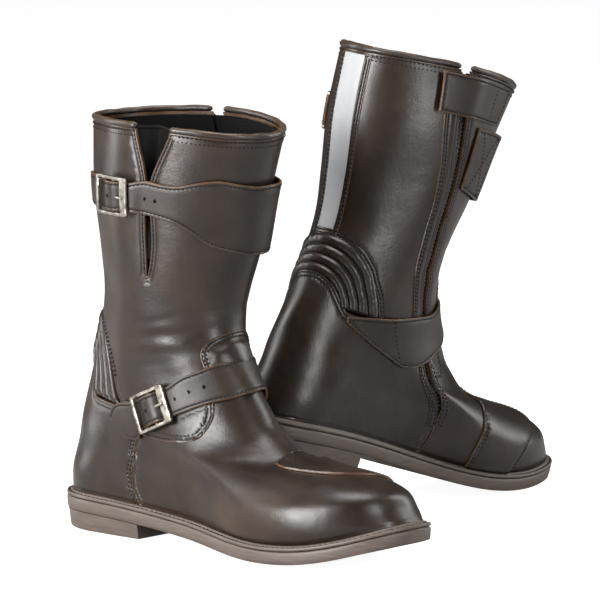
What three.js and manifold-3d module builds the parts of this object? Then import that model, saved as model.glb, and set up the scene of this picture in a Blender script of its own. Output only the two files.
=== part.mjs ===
// A pair of leather riding boots. The right boot stands flat and the left boot, its mirror image,
// stands behind it on its forefoot. Millimetres, +Z up, +X towards the right toe, +Y to the wearer's left.
// The origin is the middle of the right heel's underside.
import * as THREE from "three";
import Module from "manifold-3d";

const wasm = await Module();
wasm.setup();

// ---- sizes of the upper ----

// Levels of the upper's outer face, from the sole edge (0) to the top line (12). Each level is
// [back height, back x, front height, front x, half width at heel, at waist, at ball,
//  share of the length that rounds the back, share where the front starts to round, sag at the ball].
const LEVELS = [
  [25.2, -38.8, 32.0, 255.9, 29.9, 28.1, 41.5, 0.13, 0.72, 16.9],
  [39.6, -37.8, 40.3, 248.6, 32.0, 31.0, 46.8, 0.13, 0.74, 20.5],
  [51.4, -35.5, 50.9, 240.2, 32.7, 33.7, 48.1, 0.15, 0.72, 15.1],
  [63.2, -32.4, 57.7, 219.7, 32.1, 35.0, 45.7, 0.17, 0.68, 12.4],
  [75.1, -30.2, 60.3, 189.0, 31.5, 36.4, 42.4, 0.2, 0.6, 5.5],
  [87.9, -27.5, 65.0, 161.5, 30.9, 36.8, 38.9, 0.24, 0.52, 3.0],
  [104.6, -22.9, 86.0, 135.1, 31.1, 36.2, 36.2, 0.3, 0.46, 1.0],
  [123.1, -16.7, 113.5, 115.2, 33.8, 37.9, 36.8, 0.4, 0.44, 0],
  [143.2, -9.4, 140.6, 102.3, 37.0, 41.0, 40.0, 0.45, 0.5, 0],
  [167.4, -4.7, 167.8, 103.3, 40.9, 44.7, 42.8, 0.48, 0.5, 0],
  [199.5, -6.7, 200.3, 113.9, 45.4, 49.3, 46.3, 0.5, 0.5, 0],
  [239.7, -11.5, 239.8, 122.2, 49.8, 53.7, 50.7, 0.5, 0.5, 0],
  [284.4, -12.4, 279.3, 134.2, 51.4, 55.3, 52.4, 0.5, 0.5, 0],
];
const TOP = 12;
const RIM_RISE = 4.3; // the top line is this much higher at the sides than at the front and back

// Distances out from the upper's outer face, as [inner, outer].
const LEATHER = [-1.9, 0];
const COUNTER = [-3.9, -2.9];
const LINING = [-5.9, -4.8];
const COIL = [-2.2, -1.0];
const OVERLAY = [1.0, 2.2];
const GAP = 0.65; // between neighbouring leather panels, in degrees round the boot

// ---- sizes of the sole, below the sole edge of the upper ----
const WELT_TOP = -0.3;
const WELT_UNDER = -3.4;
const OUTSOLE_TOP = -3.7;
const OUTSOLE_UNDER = -12.5;
const SOLE_OVERHANG = 4.6;
const HEEL_FRONT_X = 44;

// ---- stance of the left boot: its own origin and turn in the right boot's frame ----
const LEFT_ORIGIN = [71.9, 85.9, 46.9];
const LEFT_YAW = 90.7;
const LEFT_PITCH = 13.1;
const LEFT_ROLL = 4.7;

// ---- the upper's outer face ----

const rad = (degrees) => (degrees * Math.PI) / 180;
const clamp = (x, low, high) => Math.min(Math.max(x, low), high);
const mix = (a, b, k) => a + (b - a) * k;

// Smooth curve through equally spaced values.
function smoothRow(rows, u) {
  const last = rows.length - 1;
  const i = clamp(Math.floor(u), 0, last - 1);
  const f = clamp(u, 0, last) - i;
  const at = (k) => rows[clamp(k, 0, last)];
  return rows[0].map((_, c) => {
    const [a, b, d, e] = [at(i - 1)[c], at(i)[c], at(i + 1)[c], at(i + 2)[c]];
    const linear = (d - a) * f;
    const square = (2 * a - 5 * b + 4 * d - e) * f * f;
    const cube = (3 * b - a - 3 * d + e) * f * f * f;
    return 0.5 * (2 * b + linear + square + cube);
  });
}

// Smooth path through [value, ...] points given at rising first numbers.
function through(points) {
  return (x) => {
    let i = 0;
    while (i < points.length - 2 && x > points[i + 1][0]) i += 1;
    const [p, q] = [points[i], points[i + 1]];
    const k = clamp((x - p[0]) / (q[0] - p[0]), 0, 1);
    return mix(p[1], q[1], k);
  };
}

const ease = (x) => {
  const k = clamp(x, 0, 1);
  return k * k * (3 - 2 * k);
};

// Half width at share t of the length, from heel, waist and ball widths.
function halfWidth(t, heel, waist, ball) {
  if (t < 0.42) return mix(heel, waist, ease((t - 0.15) / 0.27));
  return mix(waist, ball, ease((t - 0.42) / 0.28));
}

// Point of the outer face at a level and an angle: 0 is the back seam, 90 the outer side,
// 180 the front and 270 the inner side.
function skin(level, angle) {
  const [zb, xb, zf, xf, heel, waist, ball, tb, tf, sag] = smoothRow(LEVELS, level);
  const a = rad(angle);
  const t = (1 - Math.cos(a)) / 2;
  const back = t < tb ? Math.sqrt(Math.max(0, 1 - (1 - t / tb) ** 2)) : 1;
  const blunt = mix(2.5, 2, ease((level - 1.5) / 3)); // the toe is rounder than the shin
  const past = clamp((t - tf) / (1 - tf), 0, 1);
  const front = Math.max(0, 1 - past ** 2.2) ** (1 / blunt);
  const side = Math.sin(a) > 0 ? -1 : 1;
  const middle = clamp(1 - level / 7, 0, 1) * (9 * t ** 4 - 2 * Math.sin(Math.PI * t));
  const rise = clamp((level - 10) / 2, 0, 1) * RIM_RISE * Math.sin(a) ** 2;
  return new THREE.Vector3(
    xb + (xf - xb) * t,
    middle + side * halfWidth(t, heel, waist, ball) * back * front,
    zb + (zf - zb) * t - sag * Math.sin(Math.PI * t * t) + rise,
  );
}

function skinNormal(level, angle) {
  const step = 0.02;
  const low = skin(Math.max(level - step, 0), angle);
  const up = skin(Math.min(level + step, TOP), angle).sub(low);
  const round = skin(level, angle + 0.5).sub(skin(level, angle - 0.5));
  return round.cross(up).normalize();
}

function skinAt(level, angle, out) {
  return skin(level, angle).addScaledVector(skinNormal(level, angle), out);
}

// ---- building closed solids ----

// Mesh geometry from points and triangles, turned so that its faces point outwards.
function closed(points, triangles) {
  let volume = 0;
  for (const [a, b, c] of triangles) {
    volume += points[a].dot(new THREE.Vector3().crossVectors(points[b], points[c]));
  }
  const index = triangles.flatMap(([a, b, c]) => (volume < 0 ? [a, c, b] : [a, b, c]));
  const geometry = new THREE.BufferGeometry();
  const values = points.flatMap((p) => [p.x, p.y, p.z]);
  geometry.setAttribute("position", new THREE.Float32BufferAttribute(values, 3));
  geometry.setIndex(index);
  return geometry;
}

// Block from a grid of cells; place(i, j, k) gives the corner at column i, row j and face k (0 or 1).
function gridBlock(cols, rows, place) {
  const points = [];
  const triangles = [];
  const id = (i, j, k) => (i * (rows + 1) + j) * 2 + k;
  for (let i = 0; i <= cols; i += 1) {
    for (let j = 0; j <= rows; j += 1) {
      points.push(place(i, j, 0), place(i, j, 1));
    }
  }
  const quad = (a, b, c, d) => triangles.push([a, b, c], [a, c, d]);
  for (let i = 0; i < cols; i += 1) {
    for (let j = 0; j < rows; j += 1) {
      quad(id(i, j, 1), id(i + 1, j, 1), id(i + 1, j + 1, 1), id(i, j + 1, 1));
      quad(id(i, j, 0), id(i, j + 1, 0), id(i + 1, j + 1, 0), id(i + 1, j, 0));
    }
  }
  for (let i = 0; i < cols; i += 1) {
    quad(id(i, 0, 0), id(i + 1, 0, 0), id(i + 1, 0, 1), id(i, 0, 1));
    quad(id(i, rows, 0), id(i, rows, 1), id(i + 1, rows, 1), id(i + 1, rows, 0));
  }
  for (let j = 0; j < rows; j += 1) {
    quad(id(0, j, 0), id(0, j, 1), id(0, j + 1, 1), id(0, j + 1, 0));
    quad(id(cols, j, 0), id(cols, j + 1, 0), id(cols, j + 1, 1), id(cols, j, 1));
  }
  return closed(points, triangles);
}

// Sheet that follows the outer face. where(w, v) gives [angle, level] for shares w across and
// v up the sheet; lift(w, v) adds to its distance out.
function sheet(cols, rows, where, [inner, outer], lift = () => 0) {
  return gridBlock(cols, rows, (i, j, k) => {
    const w = i / cols;
    const v = j / rows;
    const [angle, level] = where(w, v);
    return skinAt(level, angle, (k ? outer : inner) + lift(w, v));
  });
}

// Sheet between two side edges (angles) and two end edges (levels), each a number or a function
// of the level or of the angle.
function panel(cols, rows, left, right, low, high, depth, lift) {
  const value = (edge, x) => (typeof edge === "function" ? edge(x) : edge);
  const corner = (w, v) => {
    let level = mix(value(low, 180), value(high, 180), v);
    let angle = 180;
    for (let pass = 0; pass < 6; pass += 1) {
      angle = mix(value(left, level), value(right, level), w);
      level = mix(value(low, angle), value(high, angle), v);
    }
    return [angle, level];
  };
  return sheet(cols, rows, corner, depth, lift);
}

const toSolid = (geometry) => {
  const triVerts = new Uint32Array(geometry.index.array);
  const vertProperties = new Float32Array(geometry.attributes.position.array);
  return new wasm.Manifold(new wasm.Mesh({ numProp: 3, vertProperties, triVerts }));
};

function toGeometry(solid) {
  const mesh = solid.getMesh();
  const geometry = new THREE.BufferGeometry();
  geometry.setAttribute("position", new THREE.BufferAttribute(mesh.vertProperties, 3));
  geometry.setIndex(new THREE.BufferAttribute(mesh.triVerts, 1));
  return geometry;
}

// Box between two corners.
function box(low, high) {
  return gridBlock(1, 1, (i, j, k) => {
    const pick = (axis, far) => (far ? high[axis] : low[axis]);
    return new THREE.Vector3(pick(0, i), pick(1, j), pick(2, k));
  });
}

// Round bar along Y, centred on (x, z).
function bar(x, z, radius, halfLength, sides = 8) {
  const points = [];
  const triangles = [];
  for (const y of [-halfLength, halfLength]) {
    for (let i = 0; i < sides; i += 1) {
      const a = (2 * Math.PI * i) / sides;
      points.push(new THREE.Vector3(x + radius * Math.cos(a), y, z + radius * Math.sin(a)));
    }
  }
  for (let i = 0; i < sides; i += 1) {
    const n = (i + 1) % sides;
    triangles.push([i, n, sides + n], [i, sides + n, sides + i]);
    if (i > 0 && i < sides - 1) {
      triangles.push([0, i + 1, i], [sides, sides + i, sides + i + 1]);
    }
  }
  return closed(points, triangles);
}

const join = (parts) => {
  const solid = parts.map(toSolid).reduce((all, one) => all.add(one));
  return solid;
};

// Axes on the outer face at a level and angle: X along the given direction round the boot,
// Z straight out; slope turns X up from level, in degrees.
function seat(level, angle, slope, forward = 1) {
  const out = skinNormal(level, angle);
  const along = skin(level, angle + forward).sub(skin(level, angle - forward));
  along.addScaledVector(out, -along.dot(out)).normalize();
  along.applyAxisAngle(out, rad(slope));
  const across = new THREE.Vector3().crossVectors(out, along);
  const place = new THREE.Matrix4().makeBasis(along, across, out);
  return place.setPosition(skin(level, angle));
}

// ---- sole ----

// Edge of the sole: the upper's lower edge moved outwards, level with it plus rise.
function soleEdge(angle, overhang, rise) {
  const out = skin(0, angle + 0.5).sub(skin(0, angle - 0.5));
  out.set(-out.y, out.x, 0).normalize();
  const edge = skin(0, angle);
  const clearOfMiddle = Math.sin(rad(angle)) > 0 ? -1 : 1;
  if (out.y * clearOfMiddle < 0) out.negate();
  edge.addScaledVector(out, overhang);
  edge.z += rise;
  return edge;
}

// Plate across the sole from angle a to b, the same on both sides, given by its two edges.
function solePlate(steps, a, b, under, over) {
  return gridBlock(steps, 1, (i, j, k) => {
    const half = mix(a, b, i / steps);
    const edge = k ? over : under;
    return edge(j ? 360 - half : half);
  });
}

const OUTSOLE_STEPS = 18;

function outsole() {
  const under = (angle) => soleEdge(angle, SOLE_OVERHANG - 0.6, OUTSOLE_UNDER);
  const over = (angle) => soleEdge(angle, SOLE_OVERHANG, OUTSOLE_TOP);
  return solePlate(OUTSOLE_STEPS, 7, 173, under, over);
}

// Angle at which the sole edge crosses the heel's front.
function angleAtX(x) {
  let low = 5;
  let high = 175;
  for (let pass = 0; pass < 30; pass += 1) {
    const half = (low + high) / 2;
    if (soleEdge(half, SOLE_OVERHANG, 0).x < x) low = half;
    else high = half;
  }
  return low;
}

// Stacked heel: straight sided, a little narrower at the floor, with a flat underside.
function heelBlock() {
  const last = angleAtX(HEEL_FRONT_X);
  const top = (angle) => soleEdge(angle, SOLE_OVERHANG - 1.2, OUTSOLE_UNDER - 0.3);
  const floor = (angle) => {
    const edge = soleEdge(angle, SOLE_OVERHANG - 3, 0);
    edge.z = 0;
    return edge;
  };
  return solePlate(9, 10, last, floor, top);
}

// Ring of leather between the upper and the outsole.
function welt() {
  const steps = 36;
  const section = [
    [SOLE_OVERHANG - 0.4, WELT_UNDER],
    [SOLE_OVERHANG - 0.4, WELT_TOP],
    [-5.5, WELT_TOP],
    [-5.5, WELT_UNDER],
  ];
  const points = [];
  const triangles = [];
  for (let i = 0; i < steps; i += 1) {
    const angle = weltAngle(i / steps);
    for (const [overhang, rise] of section) points.push(soleEdge(angle, overhang, rise));
    const next = (i + 1) % steps;
    for (let c = 0; c < 4; c += 1) {
      const d = (c + 1) % 4;
      const [p, q, r, s] = [i * 4 + c, i * 4 + d, next * 4 + d, next * 4 + c];
      triangles.push([p, q, r], [p, r, s]);
    }
  }
  return closed(points, triangles);
}

// Angles round the welt, starting beside the back seam so that both ends stay round.
const weltAngle = (share) => 5 + 360 * share;

// How far the inner soles stay back from the sole edge; more at the toe, where the lining slopes.
const innerEdge = (angle, back) => -back - 9 * ease((angle - 128) / 40);

function insoleBoard() {
  const under = (angle) => soleEdge(angle, innerEdge(Math.min(angle, 360 - angle), 7.2), 0.2);
  const over = (angle) => soleEdge(angle, innerEdge(Math.min(angle, 360 - angle), 7.2), 2.2);
  return solePlate(14, 14, 164, under, over);
}

function footbed() {
  const under = (angle) => soleEdge(angle, innerEdge(Math.min(angle, 360 - angle), 8.4), 2.6);
  const over = (angle) => soleEdge(angle, innerEdge(Math.min(angle, 360 - angle), 8.4), 6.6);
  return solePlate(14, 16, 162, under, over);
}

// Steel strip under the arch, between the insole board and the outsole.
function shank() {
  const centre = (x) => {
    const half = angleAtX(x);
    return skin(0, half).z;
  };
  return gridBlock(5, 1, (i, j, k) => {
    const x = mix(-15, 92, i / 5);
    return new THREE.Vector3(x, j ? 7 : -7, centre(x) + (k ? -1.4 : -2.8));
  });
}

// ---- the zip's line down the inner side, as an angle for each level ----
const zipLine = through([
  [0, 272],
  [2.4, 267],
  [5, 256],
  [7, 248],
  [8.8, 258],
  [10.5, 271],
  [12, 286],
]);
const ZIP_END = 2.4;
const ZIP_GAP = 4.6; // half the opening between the leather edges, in mm

// Half opening in degrees at a level.
function zipHalf(level) {
  const opening = level < ZIP_END ? 0.5 : mix(0.5, ZIP_GAP, ease((level - ZIP_END) / 0.8));
  const perDegree = skin(level, zipLine(level) + 0.5).distanceTo(skin(level, zipLine(level) - 0.5));
  return opening / perDegree;
}
const zipFront = (level) => zipLine(level) - zipHalf(level);
const zipRear = (level) => zipLine(level) + zipHalf(level) - 360;

// ---- the vent on the outer side: a seam that opens into a V at the top ----
const VENT_ANGLE = 103;
const VENT_FOOT = 9.6;
const ventHalf = (level) => 0.9 + 9.3 * ease(level - 11) + clamp(level - VENT_FOOT, 0, 1) * 0.8;
const ventFront = (level) => VENT_ANGLE + ventHalf(level);
const ventRear = (level) => VENT_ANGLE - ventHalf(level);

// ---- seams between the leather panels ----

// Lower edge of the shaft where the ankle strap crosses, by angle.
const waistLine = through([
  [-112, 6.2],
  [-100, 5.9],
  [-69, 5.6],
  [69, 5.6],
  [110, 6.1],
  [140, 6.7],
  [180, 7.1],
  [220, 6.9],
  [250, 6.3],
  [292, 5.9],
]);
// Top edge of the heel quarter: an arch over the heel.
const quarterTop = through([
  [-95, 5.9],
  [-69, 6.2],
  [-42, 6.2],
  [-37, 6.45],
  [-28, 6.95],
  [-14, 7.2],
  [14, 7.2],
  [28, 6.95],
  [37, 6.4],
  [39, 5.55],
  [69, 5.55],
  [80, 5.7],
]);
// Front edge of the heel quarter on the outer side, by level.
const quarterSeam = through([
  [0, 65],
  [1.9, 63],
  [3.3, 67],
  [4.7, 77],
  [6, 86],
]);
const below = (edge) => (x) => edge(x) - 0.06;
const wellBelow = (edge) => (x) => edge(x) - 0.14;
const shifted = (edge, by) => (x) => edge(x) + by;

// Lower edge of the upper: a little higher at the toe, where the leather slopes back.
const soleLine = (angle) => 0.06 + 0.3 * ((1 - Math.cos(rad(angle))) / 2) ** 6;

function vamp() {
  return panel(20, 9, shifted(quarterSeam, GAP), zipFront, soleLine, below(waistLine), LEATHER);
}

function heelQuarter() {
  return panel(16, 5, zipRear, shifted(quarterSeam, -GAP), soleLine, wellBelow(quarterTop), LEATHER);
}

function shaftFront() {
  return panel(12, 8, ventFront, zipFront, shifted(waistLine, 0.04), TOP, LEATHER);
}

// Edges of the ribbed panel round the back of the ankle, as [angle, level] by share.
const archOut = [
  [-67, 6.35],
  [-63, 6.95],
  [-51, 7.75],
  [-30, 8.3],
  [0, 8.5],
  [30, 8.3],
  [51, 7.75],
  [63, 6.8],
  [67, 5.75],
];
const archIn = [
  [-41, 6.35],
  [-38, 6.6],
  [-29, 7.05],
  [-14, 7.3],
  [0, 7.35],
  [14, 7.3],
  [31, 7.05],
  [41, 6.5],
  [43, 5.75],
];
const along = (path, w) => smoothRow(path, w * (path.length - 1));

// Lower edge of the shaft's rear panel: over the ribbed panel's outer edge.
const rearLow = through([
  [-112, 6.2],
  [-95, 6.1],
  [-69, 6.3],
  [-65, 7.05],
  [-53, 7.85],
  [-31, 8.4],
  [0, 8.6],
  [31, 8.4],
  [53, 7.85],
  [65, 6.9],
  [69, 5.7],
  [104, 6.0],
]);

function shaftRear() {
  return panel(18, 5, zipRear, ventRear, rearLow, TOP, LEATHER);
}

function flexPanel() {
  const where = (w, v) => {
    const [a, b] = [along(archIn, w), along(archOut, w)];
    return [mix(a[0], b[0], v), mix(a[1], b[1], v)];
  };
  const ribs = (w, v) => 2.2 * Math.abs(Math.sin(3 * Math.PI * v)) ** 0.7 + 0.2;
  return sheet(14, 6, where, [-1.7, 0.1], ribs);
}

function heelCounter() {
  return panel(12, 3, -62, 56, 0.6, 4.0, COUNTER);
}

// Lining: one sleeve, split behind the zip and notched behind the vent.
function lining() {
  const low = (angle) => 0.45 + 0.75 * ((1 - Math.cos(rad(angle))) / 2) ** 6;
  const rear = (level) => zipLine(level) - 359;
  const front = (level) => zipLine(level) - 1;
  const sleeve = panel(24, 8, rear, front, low, 11.85, LINING);
  const notch = gridBlock(1, 1, (i, j, k) => {
    const level = j ? TOP : 10.2;
    const half = j ? 16 : 1;
    const centre = skin(level, VENT_ANGLE);
    return new THREE.Vector3(centre.x + (i ? half : -half), k ? -20 : -90, centre.z + (j ? 8 : 0));
  });
  return toGeometry(toSolid(sleeve).subtract(toSolid(notch)));
}

// Leather folded inwards inside the vent.
function gusset() {
  const where = (w, v) => {
    const level = mix(10.2, 11.9, v);
    const half = ventHalf(level) - 0.8;
    return [mix(VENT_ANGLE - half, VENT_ANGLE + half, w), level];
  };
  const fold = (w, v) => -9 * ease(v) * (1 - Math.abs(2 * w - 1));
  return sheet(4, 4, where, [-1.7, -0.5], fold);
}

// ---- trim ----

// Rolled edge round the top line, dipping into the folded vent.
function collarPiping() {
  const radius = 2.1;
  const sides = 6;
  const path = [];
  const start = zipRear(TOP) + 1;
  const end = zipFront(TOP) - 1;
  const stops = [start];
  for (let angle = -72; angle < end - 4; angle += 12) {
    if (Math.abs(angle - VENT_ANGLE) > 12) stops.push(angle);
  }
  stops.push(VENT_ANGLE - 10, VENT_ANGLE - 2, VENT_ANGLE + 2, VENT_ANGLE + 10, end);
  stops.sort((a, b) => a - b);
  for (const angle of stops) {
    const dip = Math.abs(angle - VENT_ANGLE) < 5 ? -9 : 0;
    const centre = skinAt(TOP, angle, -1 + dip);
    centre.z += radius + 0.5;
    path.push(centre);
  }
  return tube(path, radius, sides);
}

// Round rod with flat ends along a path that keeps roughly level.
function tube(path, radius, sides) {
  const points = [];
  const triangles = [];
  const up = new THREE.Vector3(0, 0, 1);
  path.forEach((centre, i) => {
    const ahead = path[Math.min(i + 1, path.length - 1)];
    const behind = path[Math.max(i - 1, 0)];
    const direction = ahead.clone().sub(behind).normalize();
    const side = new THREE.Vector3().crossVectors(up, direction).normalize();
    const rise = new THREE.Vector3().crossVectors(direction, side);
    for (let s = 0; s < sides; s += 1) {
      const a = (2 * Math.PI * s) / sides;
      const out = side.clone().multiplyScalar(Math.cos(a)).addScaledVector(rise, Math.sin(a));
      points.push(centre.clone().addScaledVector(out, radius));
    }
  });
  const end = (path.length - 1) * sides;
  for (let i = 0; i < path.length - 1; i += 1) {
    for (let s = 0; s < sides; s += 1) {
      const n = (s + 1) % sides;
      const [p, q] = [i * sides, (i + 1) * sides];
      triangles.push([p + s, p + n, q + n], [p + s, q + n, q + s]);
    }
  }
  for (let s = 1; s < sides - 1; s += 1) {
    triangles.push([0, s + 1, s], [end, end + s, end + s + 1]);
  }
  return closed(points, triangles);
}

function reflectiveStrip() {
  return panel(3, 7, -8, 16, 8.68, 11.8, [1.0, 1.8]);
}

// Reinforcing patch over the vamp, from a round end on the outer side down to the inner sole edge.
function shiftGuard() {
  const rear = [
    [165, 5.0],
    [185, 5.3],
    [204, 4.7],
    [236, 3.5],
    [252, 1.8],
    [255, 0.5],
  ];
  const front = [
    [165, 4.7],
    [187, 4.0],
    [201, 3.1],
    [216, 2.4],
    [231, 1.6],
    [235, 0.5],
  ];
  const where = (w, v) => {
    const [a, b] = [along(front, w), along(rear, w)];
    return [mix(a[0], b[0], v), mix(a[1], b[1], v)];
  };
  const lift = (w, v) => 1.2 * ease(1.4 - 2 * w) * v; // clear of the vamp's hollow below the ankle
  return sheet(11, 4, where, OVERLAY, lift);
}

function instepPad() {
  const top = through([
    [143, 7.65],
    [153, 7.95],
    [170, 8.15],
    [192, 8.2],
    [205, 8.05],
    [216, 7.7],
  ]);
  const low = through([
    [143, 7.45],
    [180, 7.6],
    [216, 7.55],
  ]);
  return panel(8, 2, 143, 216, low, top, [1.2, 3.8]);
}

// ---- buckles and straps ----

const FRAME_HALF = [15, 13.6]; // half size of a buckle along and across its strap
const PLATE_FROM = 9; // front plate, from here to the frame's front end
const FRAME_BASE = 4.3; // underside and top of the frame above the upper
const FRAME_TOP = 6.5;
const BAR_Z = 4.0; // height of the middle bar
const BAR_R = 1.1;
const STRAP_HALF = 10.2; // half width of a strap inside its buckle
const STRAP_THICK = 1.9;

function buckle(place) {
  const [x, y] = FRAME_HALF;
  const parts = [
    box([-x, -y, FRAME_BASE], [-x + 3, y, FRAME_TOP]),
    box([PLATE_FROM, -y, FRAME_BASE], [x, y, FRAME_TOP]),
    box([-x + 1, -y, FRAME_BASE], [x - 1, -y + 2.6, FRAME_TOP]),
    box([-x + 1, y - 2.6, FRAME_BASE], [x - 1, y, FRAME_TOP]),
    box([-2, -y, BAR_Z - BAR_R], [2, -y + 2.6, FRAME_TOP - 0.1]),
    box([-2, y - 2.6, BAR_Z - BAR_R], [2, y, FRAME_TOP - 0.1]),
    bar(0, BAR_Z, BAR_R, y - 1.5),
  ];
  return toGeometry(join(parts)).applyMatrix4(place);
}

// Prong: an eye round the middle bar and a pin that lies on the front plate.
function prong(place) {
  const eye = toSolid(bar(0, BAR_Z, 2.5, 1.4)).subtract(toSolid(bar(0, BAR_Z, 1.5, 3)));
  const pin = toSolid(box([1.8, -1.2, BAR_Z + 0.5], [4.4, 1.2, FRAME_TOP + 1.8]));
  const tip = toSolid(box([3, -1.2, FRAME_TOP + 0.4], [13.5, 1.2, FRAME_TOP + 1.8]));
  return toGeometry(eye.add(pin).add(tip)).applyMatrix4(place);
}

// Chape: the flat leather loop that holds a buckle by its middle bar, sewn down under the strap.
function chape(place) {
  const base = toSolid(box([-11, -8, 0.8], [5, 8, 1.5]));
  const loop = toSolid(box([-2.9, -8, 0.8], [2.9, 8, 5.75]));
  const eye = toSolid(box([-1.7, -9, 1.8], [1.7, 9, 5.3]));
  const slot = toSolid(box([-4, -2.4, 1.25], [4, 2.4, 9]));
  return toGeometry(base.add(loop).subtract(eye).subtract(slot)).applyMatrix4(place);
}

// Rows of a strap that follow the upper: [angle, low level, high level, height of its middle], and
// the angle at its high edge where the row leans.
const onUpper = ([angle, low, high, lift, lean = angle]) => (v) => {
  const level = mix(low, high, v);
  const at = mix(angle, lean, v);
  return [skinAt(level, at, lift), skinNormal(level, at)];
};

// Rows of a strap inside its buckle: [distance from the middle bar, height, tilt of its face].
const inBuckle = (place) => ([d, height, tilt]) => (v) => {
  const centre = new THREE.Vector3(d, mix(-STRAP_HALF, STRAP_HALF, v), height);
  const face = new THREE.Vector3(Math.sin(tilt), 0, Math.cos(tilt)).transformDirection(place);
  return [centre.applyMatrix4(place), face];
};

// The strap's way through a buckle: under the rear bar, over the middle bar, under the plate.
const THREADING = [
  [-14, 2.8, 0],
  [-9.5, 2.9, -0.35],
  [-4, 6.9, -0.35],
  [0, 7.0, 0],
  [4, 6.9, 0.38],
  [8, 2.9, 0.38],
  [14, 2.8, 0],
];

// Strap of leather through its rows, with holes cut in the buckle's frame of axes.
function strap(rows, holes, place) {
  const body = gridBlock(rows.length - 1, 2, (i, j, k) => {
    const [centre, face] = rows[i](j / 2);
    return centre.clone().addScaledVector(face, ((k ? 1 : -1) * STRAP_THICK) / 2);
  });
  let solid = toSolid(body);
  for (const [from, to] of holes) {
    const cut = box([from, -1.9, -2], [to, 1.9, 14]).applyMatrix4(place);
    solid = solid.subtract(toSolid(cut));
  }
  return toGeometry(solid);
}

const PRONG_HOLE = [-3.4, 7.8];

const ANKLE_PLACE = seat(5.98, 96, 32);
const CALF_PLACE = seat(10.95, 82, -3);

// Ankle strap: free end low at the rear, through the buckle, over the instep, to its sewn inner end.
function ankleStrap() {
  const rows = [
    ...[
      [68, 4.2, 5.1, 1.8, 60],
      [77, 4.42, 5.66, 2.5, 67],
    ].map(onUpper),
    ...THREADING.map(inBuckle(ANKLE_PLACE)),
    ...[
      [131, 6.38, 7.05, 2.8, 124],
      [142, 6.5, 7.24, 2.4, 138],
      [152, 6.57, 7.38, 2.4, 151],
      [165, 6.65, 7.45, 2.4],
      [180, 6.7, 7.5, 2.4],
      [195, 6.7, 7.5, 2.4],
      [210, 6.6, 7.42, 2.4],
      [225, 6.3, 7.22, 2.4],
      [240, 5.95, 6.97, 2.3],
      [256, 5.5, 6.8, 2.1],
      [272, 5.05, 6.6, 2.0],
      [292, 5.2, 6.2, 1.9],
      [306, 5.55, 6.0, 1.9],
    ].map(onUpper),
  ];
  return strap(rows, [PRONG_HOLE], ANKLE_PLACE);
}

// Calf strap: narrow at the buckle and widening to a flap that wraps the front of the shin.
function calfStrap() {
  const rows = [
    ...[
      [34, 10.74, 11.2, 1.8],
      [50, 10.72, 11.2, 2.0],
      [63, 10.7, 11.2, 2.6],
    ].map(onUpper),
    ...THREADING.map(inBuckle(CALF_PLACE)),
    ...[
      [102, 10.68, 11.2, 3.0],
      [112, 10.63, 11.17, 2.4],
      [124, 10.55, 11.17, 2.0],
      [136, 10.38, 11.24, 1.9],
      [148, 10.2, 11.27, 2.4],
      [162, 10.08, 11.22, 3.4],
      [176, 10.02, 11.2, 4.4],
      [190, 10.0, 11.2, 5.0],
      [204, 10.0, 11.19, 5.2],
      [220, 10.0, 11.17, 4.6],
      [238, 10.05, 11.17, 3.0],
      [257, 10.15, 11.17, 1.8, 261],
    ].map(onUpper),
  ];
  return strap(rows, [PRONG_HOLE], CALF_PLACE);
}

// ---- zip ----

function zipCoil() {
  const side = (sign) => (level) => {
    const perDegree = skin(level, zipLine(level) + 0.5).distanceTo(skin(level, zipLine(level) - 0.5));
    return zipLine(level) + (sign * 3) / perDegree;
  };
  return panel(2, 12, side(-1), side(1), 3.4, 11.9, COIL);
}

const SLIDER_LEVEL = 11.6;

// Axes on the zip: Y up along it, Z straight out.
function zipSeat() {
  const foot = skin(SLIDER_LEVEL - 1.2, zipLine(SLIDER_LEVEL - 1.2));
  const head = skin(SLIDER_LEVEL, zipLine(SLIDER_LEVEL));
  const up = head.clone().sub(foot).normalize();
  const out = skinNormal(SLIDER_LEVEL, zipLine(SLIDER_LEVEL));
  out.addScaledVector(up, -out.dot(up)).normalize();
  const side = new THREE.Vector3().crossVectors(up, out);
  return new THREE.Matrix4().makeBasis(side, up, out).setPosition(head);
}

const ZIP_PLACE = zipSeat();
const PULL_Z = 3.4;

// Slider: a flat body over the coil with an arch for the pull.
function zipSlider() {
  const body = toSolid(box([-3.6, -6, 0.8], [3.6, 6, 2.6]));
  const arch = toSolid(box([-0.9, -3, 2], [0.9, 3, 4.8]));
  const eye = toSolid(box([-2, -1.7, 2.6], [2, 1.7, 4.1]));
  return toGeometry(body.add(arch).subtract(eye)).applyMatrix4(ZIP_PLACE);
}

function zipPull() {
  const pin = box([-3, -0.5, PULL_Z - 0.5], [3, 0.5, PULL_Z + 0.5]);
  const arms = [-1, 1].map((side) => {
    const [a, b] = side < 0 ? [-3, -1.9] : [1.9, 3];
    return box([a, -6.5, PULL_Z - 0.5], [b, 0.5, PULL_Z + 0.5]);
  });
  const plate = box([-3, -13, PULL_Z - 0.5], [3, -5.5, PULL_Z + 0.5]);
  return toGeometry(join([pin, ...arms, plate])).applyMatrix4(ZIP_PLACE);
}

const TAB_HINGE = 240; // angle of the tab's sewn front edge

// Tab that shuts over the head of the zip; its rear end lifts off the boot.
function closureTab() {
  const lift = (w) => 5.4 * ease((w - 0.25) / 0.45);
  return panel(9, 2, TAB_HINGE, 301, 11.26, 11.88, [0.7, 2.7], lift);
}

// ---- the two boots ----

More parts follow.
